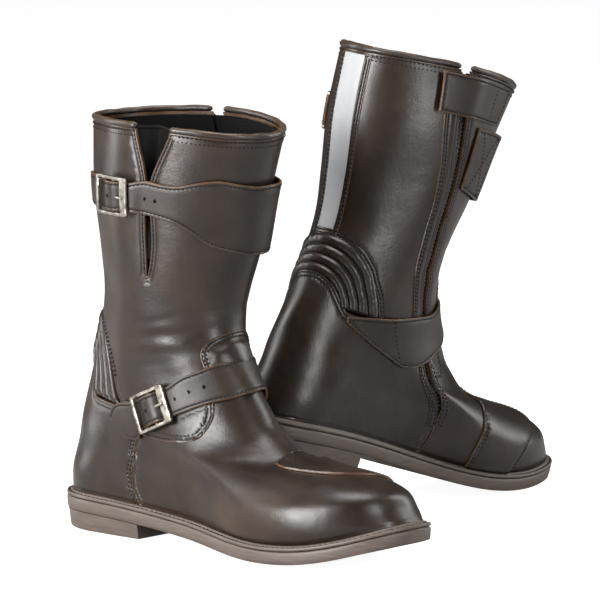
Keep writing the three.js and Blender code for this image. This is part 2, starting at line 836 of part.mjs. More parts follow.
const COLOURS = {
  leather: [0x4a3f39, 0.45, 0],
  trim: [0x40352f, 0.5, 0],
  sole: [0x6a5e54, 0.75, 0],
  lining: [0x1c1a19, 0.95, 0],
  board: [0xb09a78, 0.9, 0],
  foam: [0x2a2a2c, 0.95, 0],
  steel: [0x9a9a9a, 0.35, 1],
  nickel: [0xb8b4ac, 0.3, 1],
  reflective: [0xa8a9ab, 0.35, 0],
  plastic: [0x19191a, 0.5, 0],
};

const PIECES = [
  ["outsole", "sole", outsole],
  ["heel_block", "sole", heelBlock],
  ["welt", "sole", welt],
  ["insole_board", "board", insoleBoard],
  ["footbed", "foam", footbed],
  ["shank", "steel", shank],
  ["heel_counter", "board", heelCounter],
  ["vamp", "leather", vamp],
  ["heel_quarter", "leather", heelQuarter],
  ["shaft_front", "leather", shaftFront],
  ["shaft_rear", "leather", shaftRear],
  ["flex_panel", "leather", flexPanel],
  ["reflective_strip", "reflective", reflectiveStrip],
  ["collar_piping", "trim", collarPiping],
  ["lining", "lining", lining],
  ["gusset", "trim", gusset],
  ["shift_guard", "leather", shiftGuard],
  ["instep_pad", "leather", instepPad],
  ["ankle_strap", "leather", ankleStrap],
  ["ankle_chape", "trim", () => chape(ANKLE_PLACE)],
  ["ankle_buckle", "nickel", () => buckle(ANKLE_PLACE)],
  ["ankle_prong", "nickel", () => prong(ANKLE_PLACE)],
  ["calf_strap", "leather", calfStrap],
  ["calf_chape", "trim", () => chape(CALF_PLACE)],
  ["calf_buckle", "nickel", () => buckle(CALF_PLACE)],
  ["calf_prong", "nickel", () => prong(CALF_PLACE)],
  ["zip_coil", "plastic", zipCoil],
  ["zip_slider", "nickel", zipSlider],
  ["zip_pull", "nickel", zipPull],
  ["closure_tab", "leather", closureTab],
];

function boot(side) {
  const group = new THREE.Group();
  for (const [name, finish, build] of PIECES) {
    const [color, roughness, metalness] = COLOURS[finish];
    const material = new THREE.MeshStandardMaterial({ color, roughness, metalness });
    material.name = finish;
    const mesh = new THREE.Mesh(build(), material);
    mesh.name = `${side}_${name}`;
    group.add(mesh);
  }
  return group;
}

const right = boot("right");
const left = boot("left");
left.rotation.set(rad(LEFT_ROLL), rad(LEFT_PITCH), rad(LEFT_YAW), "ZYX");
left.position.set(...LEFT_ORIGIN);
left.scale.set(1, -1, 1);

const pair = new THREE.Group();
pair.add(right, left);
export default pair;
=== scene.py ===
"""Looks for a pair of leather riding boots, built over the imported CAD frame.

Sizes here are in millimetres in the right boot's frame; add() turns them into metres and makes the left
boot as the right one's mirror image in its own stance. A place on a boot is an angle and a level: angle 0
is the back seam, 90 the outer side, 180 the front and 270 the inner side; level 0 is the sole edge and 12
the top line.
"""

import math

import bmesh
import bpy
import numpy as np
from mathutils import Matrix, Vector, kdtree
from mathutils.geometry import delaunay_2d_cdt


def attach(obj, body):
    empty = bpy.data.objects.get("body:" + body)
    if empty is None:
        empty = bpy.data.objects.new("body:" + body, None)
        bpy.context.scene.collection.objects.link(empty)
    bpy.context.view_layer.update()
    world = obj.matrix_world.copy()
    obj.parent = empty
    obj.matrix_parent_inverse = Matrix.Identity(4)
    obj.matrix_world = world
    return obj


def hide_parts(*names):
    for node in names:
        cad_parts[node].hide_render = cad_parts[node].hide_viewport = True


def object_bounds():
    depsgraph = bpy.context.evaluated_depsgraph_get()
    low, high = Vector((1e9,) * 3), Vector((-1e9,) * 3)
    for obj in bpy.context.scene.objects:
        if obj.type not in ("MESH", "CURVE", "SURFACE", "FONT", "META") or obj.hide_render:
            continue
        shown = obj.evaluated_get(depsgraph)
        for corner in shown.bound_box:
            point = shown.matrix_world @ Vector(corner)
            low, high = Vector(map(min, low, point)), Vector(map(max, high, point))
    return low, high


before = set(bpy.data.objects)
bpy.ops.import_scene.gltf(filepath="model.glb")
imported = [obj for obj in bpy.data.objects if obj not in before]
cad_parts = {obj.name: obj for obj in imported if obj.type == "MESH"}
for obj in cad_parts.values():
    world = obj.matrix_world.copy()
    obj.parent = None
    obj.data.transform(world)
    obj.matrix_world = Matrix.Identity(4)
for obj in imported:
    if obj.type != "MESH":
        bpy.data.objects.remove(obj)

CAD_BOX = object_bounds()
MM = 0.001
SIDES = ("right", "left")

# ---- the upper's outer face, as in the CAD model ----

# Fitted values, not worked out from driving dimensions. Each row holds
# back height, back x, front height, front x, half widths at heel, waist and ball, shares where the back and
# the front round off, sag at the ball
LEVELS = np.array([
    [25.2, -38.8, 32.0, 255.9, 29.9, 28.1, 41.5, 0.13, 0.72, 16.9],
    [39.6, -37.8, 40.3, 248.6, 32.0, 31.0, 46.8, 0.13, 0.74, 20.5],
    [51.4, -35.5, 50.9, 240.2, 32.7, 33.7, 48.1, 0.15, 0.72, 15.1],
    [63.2, -32.4, 57.7, 219.7, 32.1, 35.0, 45.7, 0.17, 0.68, 12.4],
    [75.1, -30.2, 60.3, 189.0, 31.5, 36.4, 42.4, 0.2, 0.6, 5.5],
    [87.9, -27.5, 65.0, 161.5, 30.9, 36.8, 38.9, 0.24, 0.52, 3.0],
    [104.6, -22.9, 86.0, 135.1, 31.1, 36.2, 36.2, 0.3, 0.46, 1.0],
    [123.1, -16.7, 113.5, 115.2, 33.8, 37.9, 36.8, 0.4, 0.44, 0],
    [143.2, -9.4, 140.6, 102.3, 37.0, 41.0, 40.0, 0.45, 0.5, 0],
    [167.4, -4.7, 167.8, 103.3, 40.9, 44.7, 42.8, 0.48, 0.5, 0],
    [199.5, -6.7, 200.3, 113.9, 45.4, 49.3, 46.3, 0.5, 0.5, 0],
    [239.7, -11.5, 239.8, 122.2, 49.8, 53.7, 50.7, 0.5, 0.5, 0],
    [284.4, -12.4, 279.3, 134.2, 51.4, 55.3, 52.4, 0.5, 0.5, 0],
])
TOP = 12.0
RIM_RISE = 4.3
LEATHER = (-1.9, 0.0)

LEFT_ORIGIN = (71.9, 85.9, 46.9)
LEFT_YAW, LEFT_PITCH, LEFT_ROLL = 90.7, 13.1, 4.7


def ease(x):
    k = np.clip(x, 0, 1)
    return k * k * (3 - 2 * k)


def mix(a, b, k):
    return a + (b - a) * k


def unit(v):
    return v / np.maximum(np.linalg.norm(v, axis=-1, keepdims=True), 1e-12)


def through(points):
    xs, ys = zip(*points)
    return lambda x: np.interp(x, xs, ys)


def smooth_rows(rows, u):
    """Smooth curve through equally spaced rows."""
    last = len(rows) - 1
    u = np.clip(u, 0, last)
    i = np.clip(np.floor(u).astype(int), 0, last - 1)
    f = (u - i)[..., None]
    a, b, d, e = (rows[np.clip(i + k, 0, last)] for k in (-1, 0, 1, 2))
    return 0.5 * (2 * b + (d - a) * f + (2 * a - 5 * b + 4 * d - e) * f**2 + (3 * b - a - 3 * d + e) * f**3)


def skin(angle, level):
    """Points of the upper's outer face."""
    angle, level = np.broadcast_arrays(np.asarray(angle, float), np.asarray(level, float))
    row = np.moveaxis(smooth_rows(LEVELS, level), -1, 0)
    zb, xb, zf, xf, heel, waist, ball, tb, tf, sag = row
    a = np.radians(angle)
    t = (1 - np.cos(a)) / 2
    back = np.where(t < tb, np.sqrt(np.clip(1 - (1 - t / tb) ** 2, 0, 1)), 1)
    past = np.clip((t - tf) / (1 - tf), 0, 1)
    blunt = mix(2.5, 2.0, ease((level - 1.5) / 3))
    front = np.clip(1 - past**2.2, 0, 1) ** (1 / blunt)
    side = np.where(np.sin(a) > 0, -1, 1)
    rear_half = mix(heel, waist, ease((t - 0.15) / 0.27))
    half = np.where(t < 0.42, rear_half, mix(waist, ball, ease((t - 0.42) / 0.28)))
    middle = np.clip(1 - level / 7, 0, 1) * (9 * t**4 - 2 * np.sin(np.pi * t))
    rise = np.clip((level - 10) / 2, 0, 1) * RIM_RISE * np.sin(a) ** 2
    x = xb + (xf - xb) * t
    z = zb + (zf - zb) * t - sag * np.sin(np.pi * t * t) + rise
    return np.stack([x, middle + side * half * back * front, z], -1)


def slopes(angle, level):
    """Change of the skin's point per degree and per level."""
    low, high = np.maximum(level - 0.02, 0), np.minimum(level + 0.02, TOP)
    up = (skin(angle, high) - skin(angle, low)) / np.maximum(high - low, 1e-6)[..., None]
    return skin(angle + 0.5, level) - skin(angle - 0.5, level), up


def normal(angle, level):
    around, up = slopes(np.asarray(angle, float), np.asarray(level, float))
    return unit(np.cross(around, up))


def fold(angle, level, at, reach, tilt=0.0):
    """Height of one soft fold, from 0 to 1: at is its middle and reach its half sizes, in degrees and levels."""
    da = (angle - at[0]) / reach[0]
    dl = (level - at[1] - tilt * (angle - at[0])) / reach[1]
    return np.exp(-(da**2) - dl**2)


FOLDS = [  # middle, half sizes, tilt, height in mm
    ((128, 8.15), (34, 0.16), 0.004, -1.1),
    ((150, 7.95), (24, 0.1), -0.006, -0.5),
    ((108, 8.45), (22, 0.1), 0.008, -0.5),
    ((112, 7.35), (20, 0.09), 0.01, -0.5),
    ((122, 7.65), (30, 0.13), 0.006, -0.8),
    ((190, 8.75), (40, 0.22), 0.0, -0.8),
    ((205, 5.9), (34, 0.22), -0.004, -0.8),
    ((150, 5.6), (26, 0.2), 0.01, -0.6),
    ((250, 8.1), (24, 0.2), -0.006, -0.8),
    ((60, 9.3), (30, 0.5), 0.0, -0.7),
    ((20, 2.2), (26, 0.9), 0.0, -0.6),
    ((120, 2.6), (22, 0.8), 0.01, -0.7),
    ((160, 9.9), (26, 0.7), 0.0, -0.8),
    ((-30, 10.2), (26, 0.9), 0.0, -0.9),
]


def crease(angle, level):
    """Soft unevenness of worn leather, in mm."""
    a = np.radians(angle)
    wave = 0.35 * np.sin(3 * a + 1.7 * level) + 0.25 * np.sin(5 * a - 1.1 * level + 2)
    wave = wave * ease((level - 5.5) / 2) + 0.15 * np.sin(7 * a + 2.3 * level + 1)
    turn = np.where(angle < -95, angle + 360, angle)
    for at, reach, tilt, height in FOLDS:
        wave = wave + height * fold(turn, level, at, reach, tilt)
    return wave * ease(level / 0.8) * ease((TOP + 0.1 - level) / 0.8)


def on_boot(angle, level, out=0.0):
    angle, level = np.asarray(angle, float), np.asarray(level, float)
    height = np.asarray(out + crease(angle, level))
    return skin(angle, level) + normal(angle, level) * height[..., None]


# ---- paths over the boot: arrays of (angle, level) ----


def measure(path):
    steps = np.linalg.norm(np.diff(skin(path[:, 0], path[:, 1]), axis=0), axis=1)
    return np.concatenate([[0], np.cumsum(steps)])


def resample(path, step):
    """The same path with a point about every step mm."""
    s = measure(path)
    at = np.linspace(0, s[-1], max(2, int(round(s[-1] / step)) + 1))
    return np.stack([np.interp(at, s, path[:, 0]), np.interp(at, s, path[:, 1])], -1)


def curve(points, per=12):
    """Smooth path through a few points."""
    rows = np.array(points, float)
    return smooth_rows(rows, np.linspace(0, len(rows) - 1, (len(rows) - 1) * per + 1))


def by_level(edge, low, high, n=60):
    level = np.linspace(low, high, n)
    return np.stack([edge(level), level], -1)


def by_angle(edge, start, end, n=90):
    angle = np.linspace(start, end, n)
    return np.stack([angle, edge(angle) if callable(edge) else np.full(n, float(edge))], -1)


def outline(*sides, step=1.6):
    """Closed path from its sides, corners kept, turning left as seen from outside."""
    parts = [resample(np.asarray(s, float), step)[:-1] for s in sides]
    path = np.vstack(parts)
    a, l = path[:, 0], path[:, 1]
    area = np.sum(a * np.roll(l, -1) - np.roll(a, -1) * l)
    return path if area > 0 else path[::-1]


def tree_of(points):
    tree = kdtree.KDTree(len(points))
    for i, p in enumerate(points):
        tree.insert(p, i)
    tree.balance()
    return tree


def distances(points, tree):
    return np.array([tree.find(p)[2] for p in points])


def inset(path, distance, closed=True):
    """Path moved to its left over the boot by a distance in mm."""
    p = skin(path[:, 0], path[:, 1])
    ahead, behind = np.roll(p, -1, 0), np.roll(p, 1, 0)
    if not closed:
        ahead[-1], behind[0] = p[-1], p[0]
    side = np.cross(normal(path[:, 0], path[:, 1]), unit(ahead - behind)) * distance
    ja, jl = slopes(path[:, 0], path[:, 1])
    aa, ab, bb = (ja * ja).sum(1), (ja * jl).sum(1), (jl * jl).sum(1)
    ra, rb = (ja * side).sum(1), (jl * side).sum(1)
    det = aa * bb - ab * ab
    moved = path + np.stack([(ra * bb - rb * ab) / det, (aa * rb - ab * ra) / det], -1)
    far = distances(skin(moved[:, 0], moved[:, 1]), tree_of(p))
    return moved[far > 0.9 * abs(distance)]


def inside(points, loops):
    """Which 2-D points lie inside the loops, counting a loop within a loop as a hole."""
    within = np.zeros(len(points), bool)
    for loop in loops:
        a, b = loop, np.roll(loop, -1, 0)
        for part in np.array_split(np.arange(len(points)), max(1, len(points) // 2000)):
            x, y = points[part, 0][:, None], points[part, 1][:, None]
            spans = (a[:, 1] > y) != (b[:, 1] > y)
            rise = np.where(b[:, 1] == a[:, 1], 1e-12, b[:, 1] - a[:, 1])
            cross = (b[:, 0] - a[:, 0]) * (y - a[:, 1]) / rise + a[:, 0]
            within[part] ^= ((spans & (x < cross)).sum(1) % 2).astype(bool)
    return within


# ---- closed shells ----


def rounding(d, radius):
    """How far a rounded edge falls off at distance d from it."""
    k = np.clip(1 - d / radius, 0, 1)
    return radius * (1 - np.sqrt(1 - k * k))


def sewn(d, grooves):
    """How near each point lies to a sewn line, from 0 to 1: the leathers darken there, partly the pressed
    channel's own colour, partly painted shade in the groove.
    """
    near = np.zeros(np.shape(d))
    for g in grooves:
        near = np.maximum(near, np.exp(-(((d - g) / 0.55) ** 2)))
    return near


def shell(loops, points, place, depth, grooves=()):
    """Closed solid over flat loops. place(uv) gives base points and normals; depth(uv, d) gives its lower and
    upper distance from the base, at distance d from its edge."""
    flat = np.vstack([*loops, points])
    edges, start = [], 0
    for loop in loops:
        n = len(loop)
        edges += [(start + i, start + (i + 1) % n) for i in range(n)]
        start += n
    made = delaunay_2d_cdt([Vector(p) for p in flat.tolist()], edges, [], 0, 1e-5)
    uv = np.array([(v.x, v.y) for v in made[0]])
    tris = np.array([f for f in made[2] if len(f) == 3])
    tris = tris[inside(uv[tris].mean(1), loops)]
    p, q, r = (uv[tris[:, k]] for k in range(3))
    area = (q[:, 0] - p[:, 0]) * (r[:, 1] - p[:, 1]) - (q[:, 1] - p[:, 1]) * (r[:, 0] - p[:, 0])
    tris = np.where((area < 0)[:, None], tris[:, ::-1], tris)
    used, index = np.unique(tris, return_inverse=True)
    uv, tris = uv[used], index.reshape(-1, 3)
    base, out = place(uv)
    dense = [np.vstack([loop, (loop + np.roll(loop, -1, 0)) / 2]) for loop in loops]
    d = distances(base, tree_of(np.vstack([place(loop)[0] for loop in dense])))
    sides = np.vstack([tris[:, [0, 1]], tris[:, [1, 2]], tris[:, [2, 0]]])
    keys = set(map(tuple, sides.tolist()))
    rim = [(a, b) for a, b in keys if (b, a) not in keys]
    d[np.unique(rim)] = 0
    low, high = depth(uv, d)
    n = len(uv)
    verts = np.vstack([base + out * np.asarray(high)[:, None], base + out * np.asarray(low)[:, None]])
    faces = tris.tolist() + (tris[:, ::-1] + n).tolist() + [(a, a + n, b + n, b) for a, b in rim]
    edge = np.exp(-d / 0.7)
    return verts, faces, {"edge": np.concatenate([edge, np.ones(n)]), "sewn": np.tile(sewn(d, grooves), 2)}


HEIGHTS = measure(by_level(lambda level: level * 0 + 75, 0, TOP, 241))


def flatten(path, per_degree):
    height = np.interp(path[:, 1], np.linspace(0, TOP, 241), HEIGHTS)
    return np.stack([path[:, 0] * per_degree, height], -1)


def unflatten(uv, per_degree):
    level = np.interp(uv[:, 1], HEIGHTS, np.linspace(0, TOP, 241))
    return np.stack([uv[:, 0] / per_degree, level], -1)


def patch(path, depth=LEATHER, spacing=2.6, grooves=(), round_by=0.8, lift=None, swell=None, rings=()):
    """Leather panel inside a closed path. grooves are the distances of sewn lines from its edge."""
    low, high = depth
    middle = path.mean(0)
    around, _ = slopes(middle[0], middle[1])
    per_degree = float(np.linalg.norm(around))
    loop = flatten(path, per_degree)
    offsets = [round_by * 0.3, round_by, *rings]
    for g in grooves:
        offsets += [g - 0.5, g, g + 0.5]
    offsets = sorted(set(round(o, 2) for o in offsets))
    ring_points = [inset(path, o) for o in offsets]
    reach = offsets[-1] + spacing * 0.5
    lo, hi = loop.min(0), loop.max(0)
    xs = np.arange(lo[0], hi[0] + spacing, spacing)
    ys = np.arange(lo[1], hi[1] + spacing, spacing * 0.87)
    gx, gy = np.meshgrid(xs, ys)
    gx = gx + (np.arange(len(ys)) % 2)[:, None] * spacing / 2
    grid = np.stack([gx.ravel(), gy.ravel()], -1)
    grid = unflatten(grid[inside(grid, [loop])], per_degree)
    edge_tree = tree_of(skin(path[:, 0], path[:, 1]))
    if len(grid):
        grid = grid[distances(skin(grid[:, 0], grid[:, 1]), edge_tree) > reach]
    extra = np.vstack([*[p for p in ring_points if len(p)], grid])
    extra_flat = flatten(extra, per_degree)
    extra_flat = extra_flat[inside(extra_flat, [loop])]

    def place(uv):
        at = unflatten(uv, per_degree)
        return on_boot(at[:, 0], at[:, 1]), normal(at[:, 0], at[:, 1])

    def span(uv, d):
        at = unflatten(uv, per_degree)
        top = high - rounding(d, round_by)
        for g in grooves:
            top = top - 0.4 * np.exp(-(((d - g) / 0.45) ** 2))
        bottom = np.full(len(uv), float(low))
        if swell is not None:
            top = top + swell(at[:, 0], at[:, 1], d)
        if lift is not None:
            raised = lift(at[:, 0], at[:, 1])
            top, bottom = top + raised, bottom + raised
        return bottom, top

    return shell([loop], extra_flat, place, span, grooves)


def block(top, bottom, d=None):
    """Closed solid between two grids of points. d is the distance from its edge, for wear."""
    rows, cols = top.shape[:2]
    n = rows * cols
    verts = np.vstack([top.reshape(-1, 3), bottom.reshape(-1, 3)])
    at = np.arange(n).reshape(rows, cols)
    a, b, c, e = at[:-1, :-1].ravel(), at[1:, :-1].ravel(), at[1:, 1:].ravel(), at[:-1, 1:].ravel()
    faces = np.stack([a, b, c, e], -1).tolist() + np.stack([e + n, c + n, b + n, a + n], -1).tolist()
    ring = [*at[:, 0], *at[-1, 1:], *at[-2::-1, -1], *at[0, -2:0:-1]]
    for p, q in zip(ring, ring[1:] + ring[:1]):
        faces.append((q, p, p + n, q + n))
    edge = np.zeros(n) if d is None else np.exp(-d.ravel() / 0.7)
    return verts, faces, {"edge": np.concatenate([edge, np.ones(n) if d is not None else edge])}


def joined(*shapes):
    verts, faces, start = [], [], 0
    marks = {"edge": [], "sewn": []}
    for v, f, given in shapes:
        verts.append(v)
        faces += [tuple(i + start for i in face) for face in f]
        for key, values in marks.items():
            values.append(given.get(key, np.zeros(len(v))))
        start += len(v)
    return np.vstack(verts), faces, {key: np.concatenate(values) for key, values in marks.items()}


def hermite(rows, at, s):
    """Smooth interpolation of rows known at parameters at, for parameters s."""
    slope = np.gradient(rows, at, axis=0)
    i = np.clip(np.searchsorted(at, s, side="right") - 1, 0, len(at) - 2)
    h = (at[i + 1] - at[i]).reshape(-1, *[1] * (rows.ndim - 1))
    f = ((s - at[i]) / (at[i + 1] - at[i])).reshape(h.shape)
    a, b, ma, mb = rows[i], rows[i + 1], slope[i] * h, slope[i + 1] * h
    return (
        (2 * f**3 - 3 * f**2 + 1) * a + (f**3 - 2 * f**2 + f) * ma
        + (3 * f**2 - 2 * f**3) * b + (f**3 - f**2) * mb
    )


EDGE_RINGS = np.array([0, 0.25, 0.7, 1.4, 1.9, 2.3, 2.7, 3.4])


def ribbon(rows, thick=1.9, groove=2.3, cols=9, step=1.6):
    """Strap through its rows. Each row gives points and normals for shares 0 to 1 across the strap."""
    centres, faces_out, widths = [], [], []
    for row in rows:
        ends, _ = row(np.array([0.0, 1.0]))
        width = float(np.linalg.norm(ends[1] - ends[0]))
        rim = EDGE_RINGS / width
        across = np.concatenate([rim, np.linspace(rim[-1], 1 - rim[-1], cols + 2)[1:-1], 1 - rim[::-1]])
        points, out = row(across)
        centres.append(points)
        faces_out.append(out)
        widths.append(np.minimum(across, 1 - across) * width)
    centres, faces_out, widths = np.array(centres), np.array(faces_out), np.array(widths)
    mid = centres[:, centres.shape[1] // 2]
    at = np.concatenate([[0], np.cumsum(np.linalg.norm(np.diff(mid, axis=0), axis=1))])
    end = EDGE_RINGS[:4]
    s = np.concatenate([end, np.arange(3.0, at[-1] - 3.0, step), at[-1] - end[::-1]])
    p, n = hermite(centres, at, s), unit(hermite(faces_out, at, s))
    side = hermite(widths, at, s)
    d = np.minimum(side, np.minimum(s, at[-1] - s)[:, None])
    half = thick / 2
    dip = 0.35 * np.exp(-(((side - groove) / 0.45) ** 2))
    top = p + n * (half - rounding(d, 0.8) - dip)[..., None]
    bottom = p - n * (half - rounding(d, 0.5))[..., None]
    shape = block(top, bottom, d)
    shape[2]["sewn"] = np.tile(sewn(side, [groove]).ravel(), 2)
    return shape, p, n


def tube(path, radius, sides=12, up=(0, 0, 1), flat=1.0):
    """Round rod along 3-D points, with closed ends; radius may be one number for each point."""
    path = np.asarray(path, float)
    radius = np.broadcast_to(np.asarray(radius, float), len(path))
    along = unit(np.gradient(path, axis=0))
    side = unit(np.cross(np.array(up, float), along))
    rise = np.cross(along, side)
    a = np.linspace(0, 2 * np.pi, sides, endpoint=False)
    ring = side[:, None] * np.cos(a)[None, :, None] + rise[:, None] * np.sin(a)[None, :, None] * flat
    verts = (path[:, None] + ring * radius[:, None, None]).reshape(-1, 3)
    faces = []
    for i in range(len(path) - 1):
        for j in range(sides):
            k = (j + 1) % sides
            faces.append((i * sides + j, i * sides + k, (i + 1) * sides + k, (i + 1) * sides + j))
    last = (len(path) - 1) * sides
    faces.append(tuple(range(sides))[::-1])
    faces.append(tuple(range(last, last + sides)))
    return verts, faces, {"edge": np.full(len(verts), 0.0)}


def soft_box(low, high, radius, segments=2):
    """Box with rounded edges."""
    bm = bmesh.new()
    bmesh.ops.create_cube(bm, size=1)
    low, high = np.array(low, float), np.array(high, float)
    for v in bm.verts:
        v.co = Vector((low + high) / 2 + np.array(v.co) * (high - low))
    bmesh.ops.bevel(
        bm, geom=list(bm.edges), offset=radius, segments=segments, profile=0.5, affect="EDGES",
        clamp_overlap=True,
    )
    bm.verts.index_update()
    verts = np.array([v.co[:] for v in bm.verts])
    faces = [tuple(v.index for v in f.verts) for f in bm.faces]
    bm.free()
    return verts, faces, {"edge": np.zeros(len(verts))}


def axes_at(x, y, z, origin):
    place = np.eye(4)
    place[:3, 0], place[:3, 1], place[:3, 2], place[:3, 3] = x, y, z, origin
    return place


def moved(shape, place):
    verts, faces, marks = shape
    return verts @ place[:3, :3].T + place[:3, 3], faces, marks


# ---- adding pieces to both boots ----


def left_stance():
    turn = (
        Matrix.Rotation(math.radians(LEFT_YAW), 4, "Z")
        @ Matrix.Rotation(math.radians(LEFT_PITCH), 4, "Y")
        @ Matrix.Rotation(math.radians(LEFT_ROLL), 4, "X")
    )
    return np.array(Matrix.Translation(LEFT_ORIGIN) @ turn @ Matrix.Diagonal((1, -1, 1, 1)))


LEFT = left_stance()


def add(name, shape, material, body="boot", replaces=(), sharp=45):
    """Makes a piece on each boot, and returns the two objects."""
    made = []
    for side in SIDES:
        verts, faces, marks = shape
        if side == "left":
            verts = verts @ LEFT[:3, :3].T + LEFT[:3, 3]
            faces = [tuple(f)[::-1] for f in faces]
        mesh = bpy.data.meshes.new(f"{side}_{name}")
        mesh.from_pydata((verts * MM).tolist(), [], faces)
        for key, values in marks.items():
            mesh.attributes.new(key, "FLOAT", "POINT").data.foreach_set("value", values.astype(np.float32))
        mesh.polygons.foreach_set("use_smooth", [True] * len(mesh.polygons))
        mesh.set_sharp_from_angle(angle=math.radians(sharp))
        mesh.materials.append(material)
        ob = bpy.data.objects.new(f"{side}_{name}", mesh)
        bpy.context.scene.collection.objects.link(ob)
        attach(ob, f"{side}_{body}")
        if replaces:
            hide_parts(*[f"{side}_{node}" for node in replaces])
        made.append(ob)
    return made


THREAD = {}


def stitch(path, out=0.0, body="boot", pitch=3.0, length=1.75, radius=0.46, place=None):
    """Row of stitches along a path over the boot, or along 3-D points and normals given as place."""
    if place is None:
        dense = resample(path, 0.5)
        points, normals = on_boot(dense[:, 0], dense[:, 1], out), normal(dense[:, 0], dense[:, 1])
    else:
        points, normals = place
    s = np.concatenate([[0], np.cumsum(np.linalg.norm(np.diff(points, axis=0), axis=1))])
    count = max(1, int(s[-1] / pitch))
    at = (np.arange(count) + 0.5) * s[-1] / count
    pick = lambda values, where: np.stack([np.interp(where, s, values[:, k]) for k in range(3)], -1)
    middle, out_of = pick(points, at), unit(pick(normals, at))
    along = unit(pick(points, at + length / 2) - pick(points, at - length / 2))
    across = np.cross(out_of, along)
    THREAD.setdefault(body, []).append((middle, along, across, out_of, length, radius))


def thread_shape(rows, sides=6):
    """One mesh of all the stitches in these rows: each a short spindle pulled down at its ends."""
    shares = np.array([-0.5, -0.36, 0.0, 0.36, 0.5])
    widths = np.array([0.25, 0.85, 1.0, 0.85, 0.25])
    sink = np.array([-0.55, -0.1, 0.12, -0.1, -0.55])
    a = np.linspace(0, 2 * np.pi, sides, endpoint=False)
    faces_one = []
    for i in range(4):
        for j in range(sides):
            k = (j + 1) % sides
            faces_one.append((i * sides + j, i * sides + k, (i + 1) * sides + k, (i + 1) * sides + j))
    faces_one += [tuple(range(sides))[::-1], tuple(range(4 * sides, 5 * sides))]
    verts, faces, start = [], [], 0
    for middle, along, across, out, length, radius in rows:
        for m, t, c, n in zip(middle, along, across, out):
            spine = m + np.outer(shares * length, t) + np.outer(sink, n) * 0.6
            ring = np.cos(a)[:, None] * c + np.sin(a)[:, None] * n
            verts.append((spine[:, None] + ring[None] * (widths * radius)[:, None, None]).reshape(-1, 3))
            faces += [tuple(i + start for i in f) for f in faces_one]
            start += 5 * sides
    return np.vstack(verts), faces, {}


# ---- materials ----


class Nodes:
    """Short way to write a node tree that ends in a Principled shader."""

    def __init__(self, name):
        self.material = bpy.data.materials.new(name)
        self.material.use_nodes = True
        self.tree = self.material.node_tree
        self.shader = self.tree.nodes["Principled BSDF"]
        self.coords = self.tree.nodes.new("ShaderNodeTexCoord").outputs["Object"]

    def node(self, kind, inputs=(), **settings):
        made = self.tree.nodes.new(kind)
        for key, value in settings.items():
            setattr(made, key, value)
        for key, value in dict(inputs).items():
            self.put(made.inputs[key], value)
        return made

    def put(self, socket, value):
        if isinstance(value, bpy.types.NodeSocket):
            self.tree.links.new(value, socket)
        else:
            socket.default_value = value

    def noise(self, scale, detail=3.0, stretch=(1, 1, 1), rough=0.55):
        mapping = self.node("ShaderNodeMapping", {"Vector": self.coords, "Scale": stretch})
        inputs = {"Vector": mapping.outputs[0], "Scale": scale, "Detail": detail, "Roughness": rough}
        return self.node("ShaderNodeTexNoise", inputs).outputs["Fac"]

    def cells(self, scale, feature="F1"):
        inputs = {"Vector": self.coords, "Scale": scale}
        return self.node("ShaderNodeTexVoronoi", inputs, feature=feature).outputs["Distance"]

    def ramp(self, value, *stops):
        made = self.node("ShaderNodeValToRGB", {"Fac": value})
        elements = made.color_ramp.elements
        while len(elements) < len(stops):
            elements.new(0.5)
        for element, (position, color) in zip(elements, stops):
            element.position = position
            element.color = (*color, 1) if len(color) == 3 else color
        return made.outputs["Color"]

    def blend(self, share, a, b, mode="MIX"):
        made = self.node("ShaderNodeMix", data_type="RGBA", blend_type=mode)
        self.put(made.inputs[0], share)
        self.put(made.inputs[6], a)
        self.put(made.inputs[7], b)
        return made.outputs[2]

    def math(self, operation, a, b=0.5, c=0.5):
        made = self.node("ShaderNodeMath", operation=operation)
        for i, value in enumerate((a, b, c)):
            self.put(made.inputs[i], value)
        return made.outputs[0]

    def attribute(self, name):
        return self.node("ShaderNodeAttribute", attribute_name=name).outputs["Fac"]

    def bump(self, height, distance, strength=1.0, after=None):
        inputs = {"Height": height, "Distance": distance, "Strength": strength}
        if after is not None:
            inputs["Normal"] = after
        return self.node("ShaderNodeBump", inputs).outputs[0]

    def finish(self, **values):
        for key, value in values.items():
            self.put(self.shader.inputs[key.replace("_", " ")], value)
        return self.material


def rgb(*values):
    return (*values, 1.0)


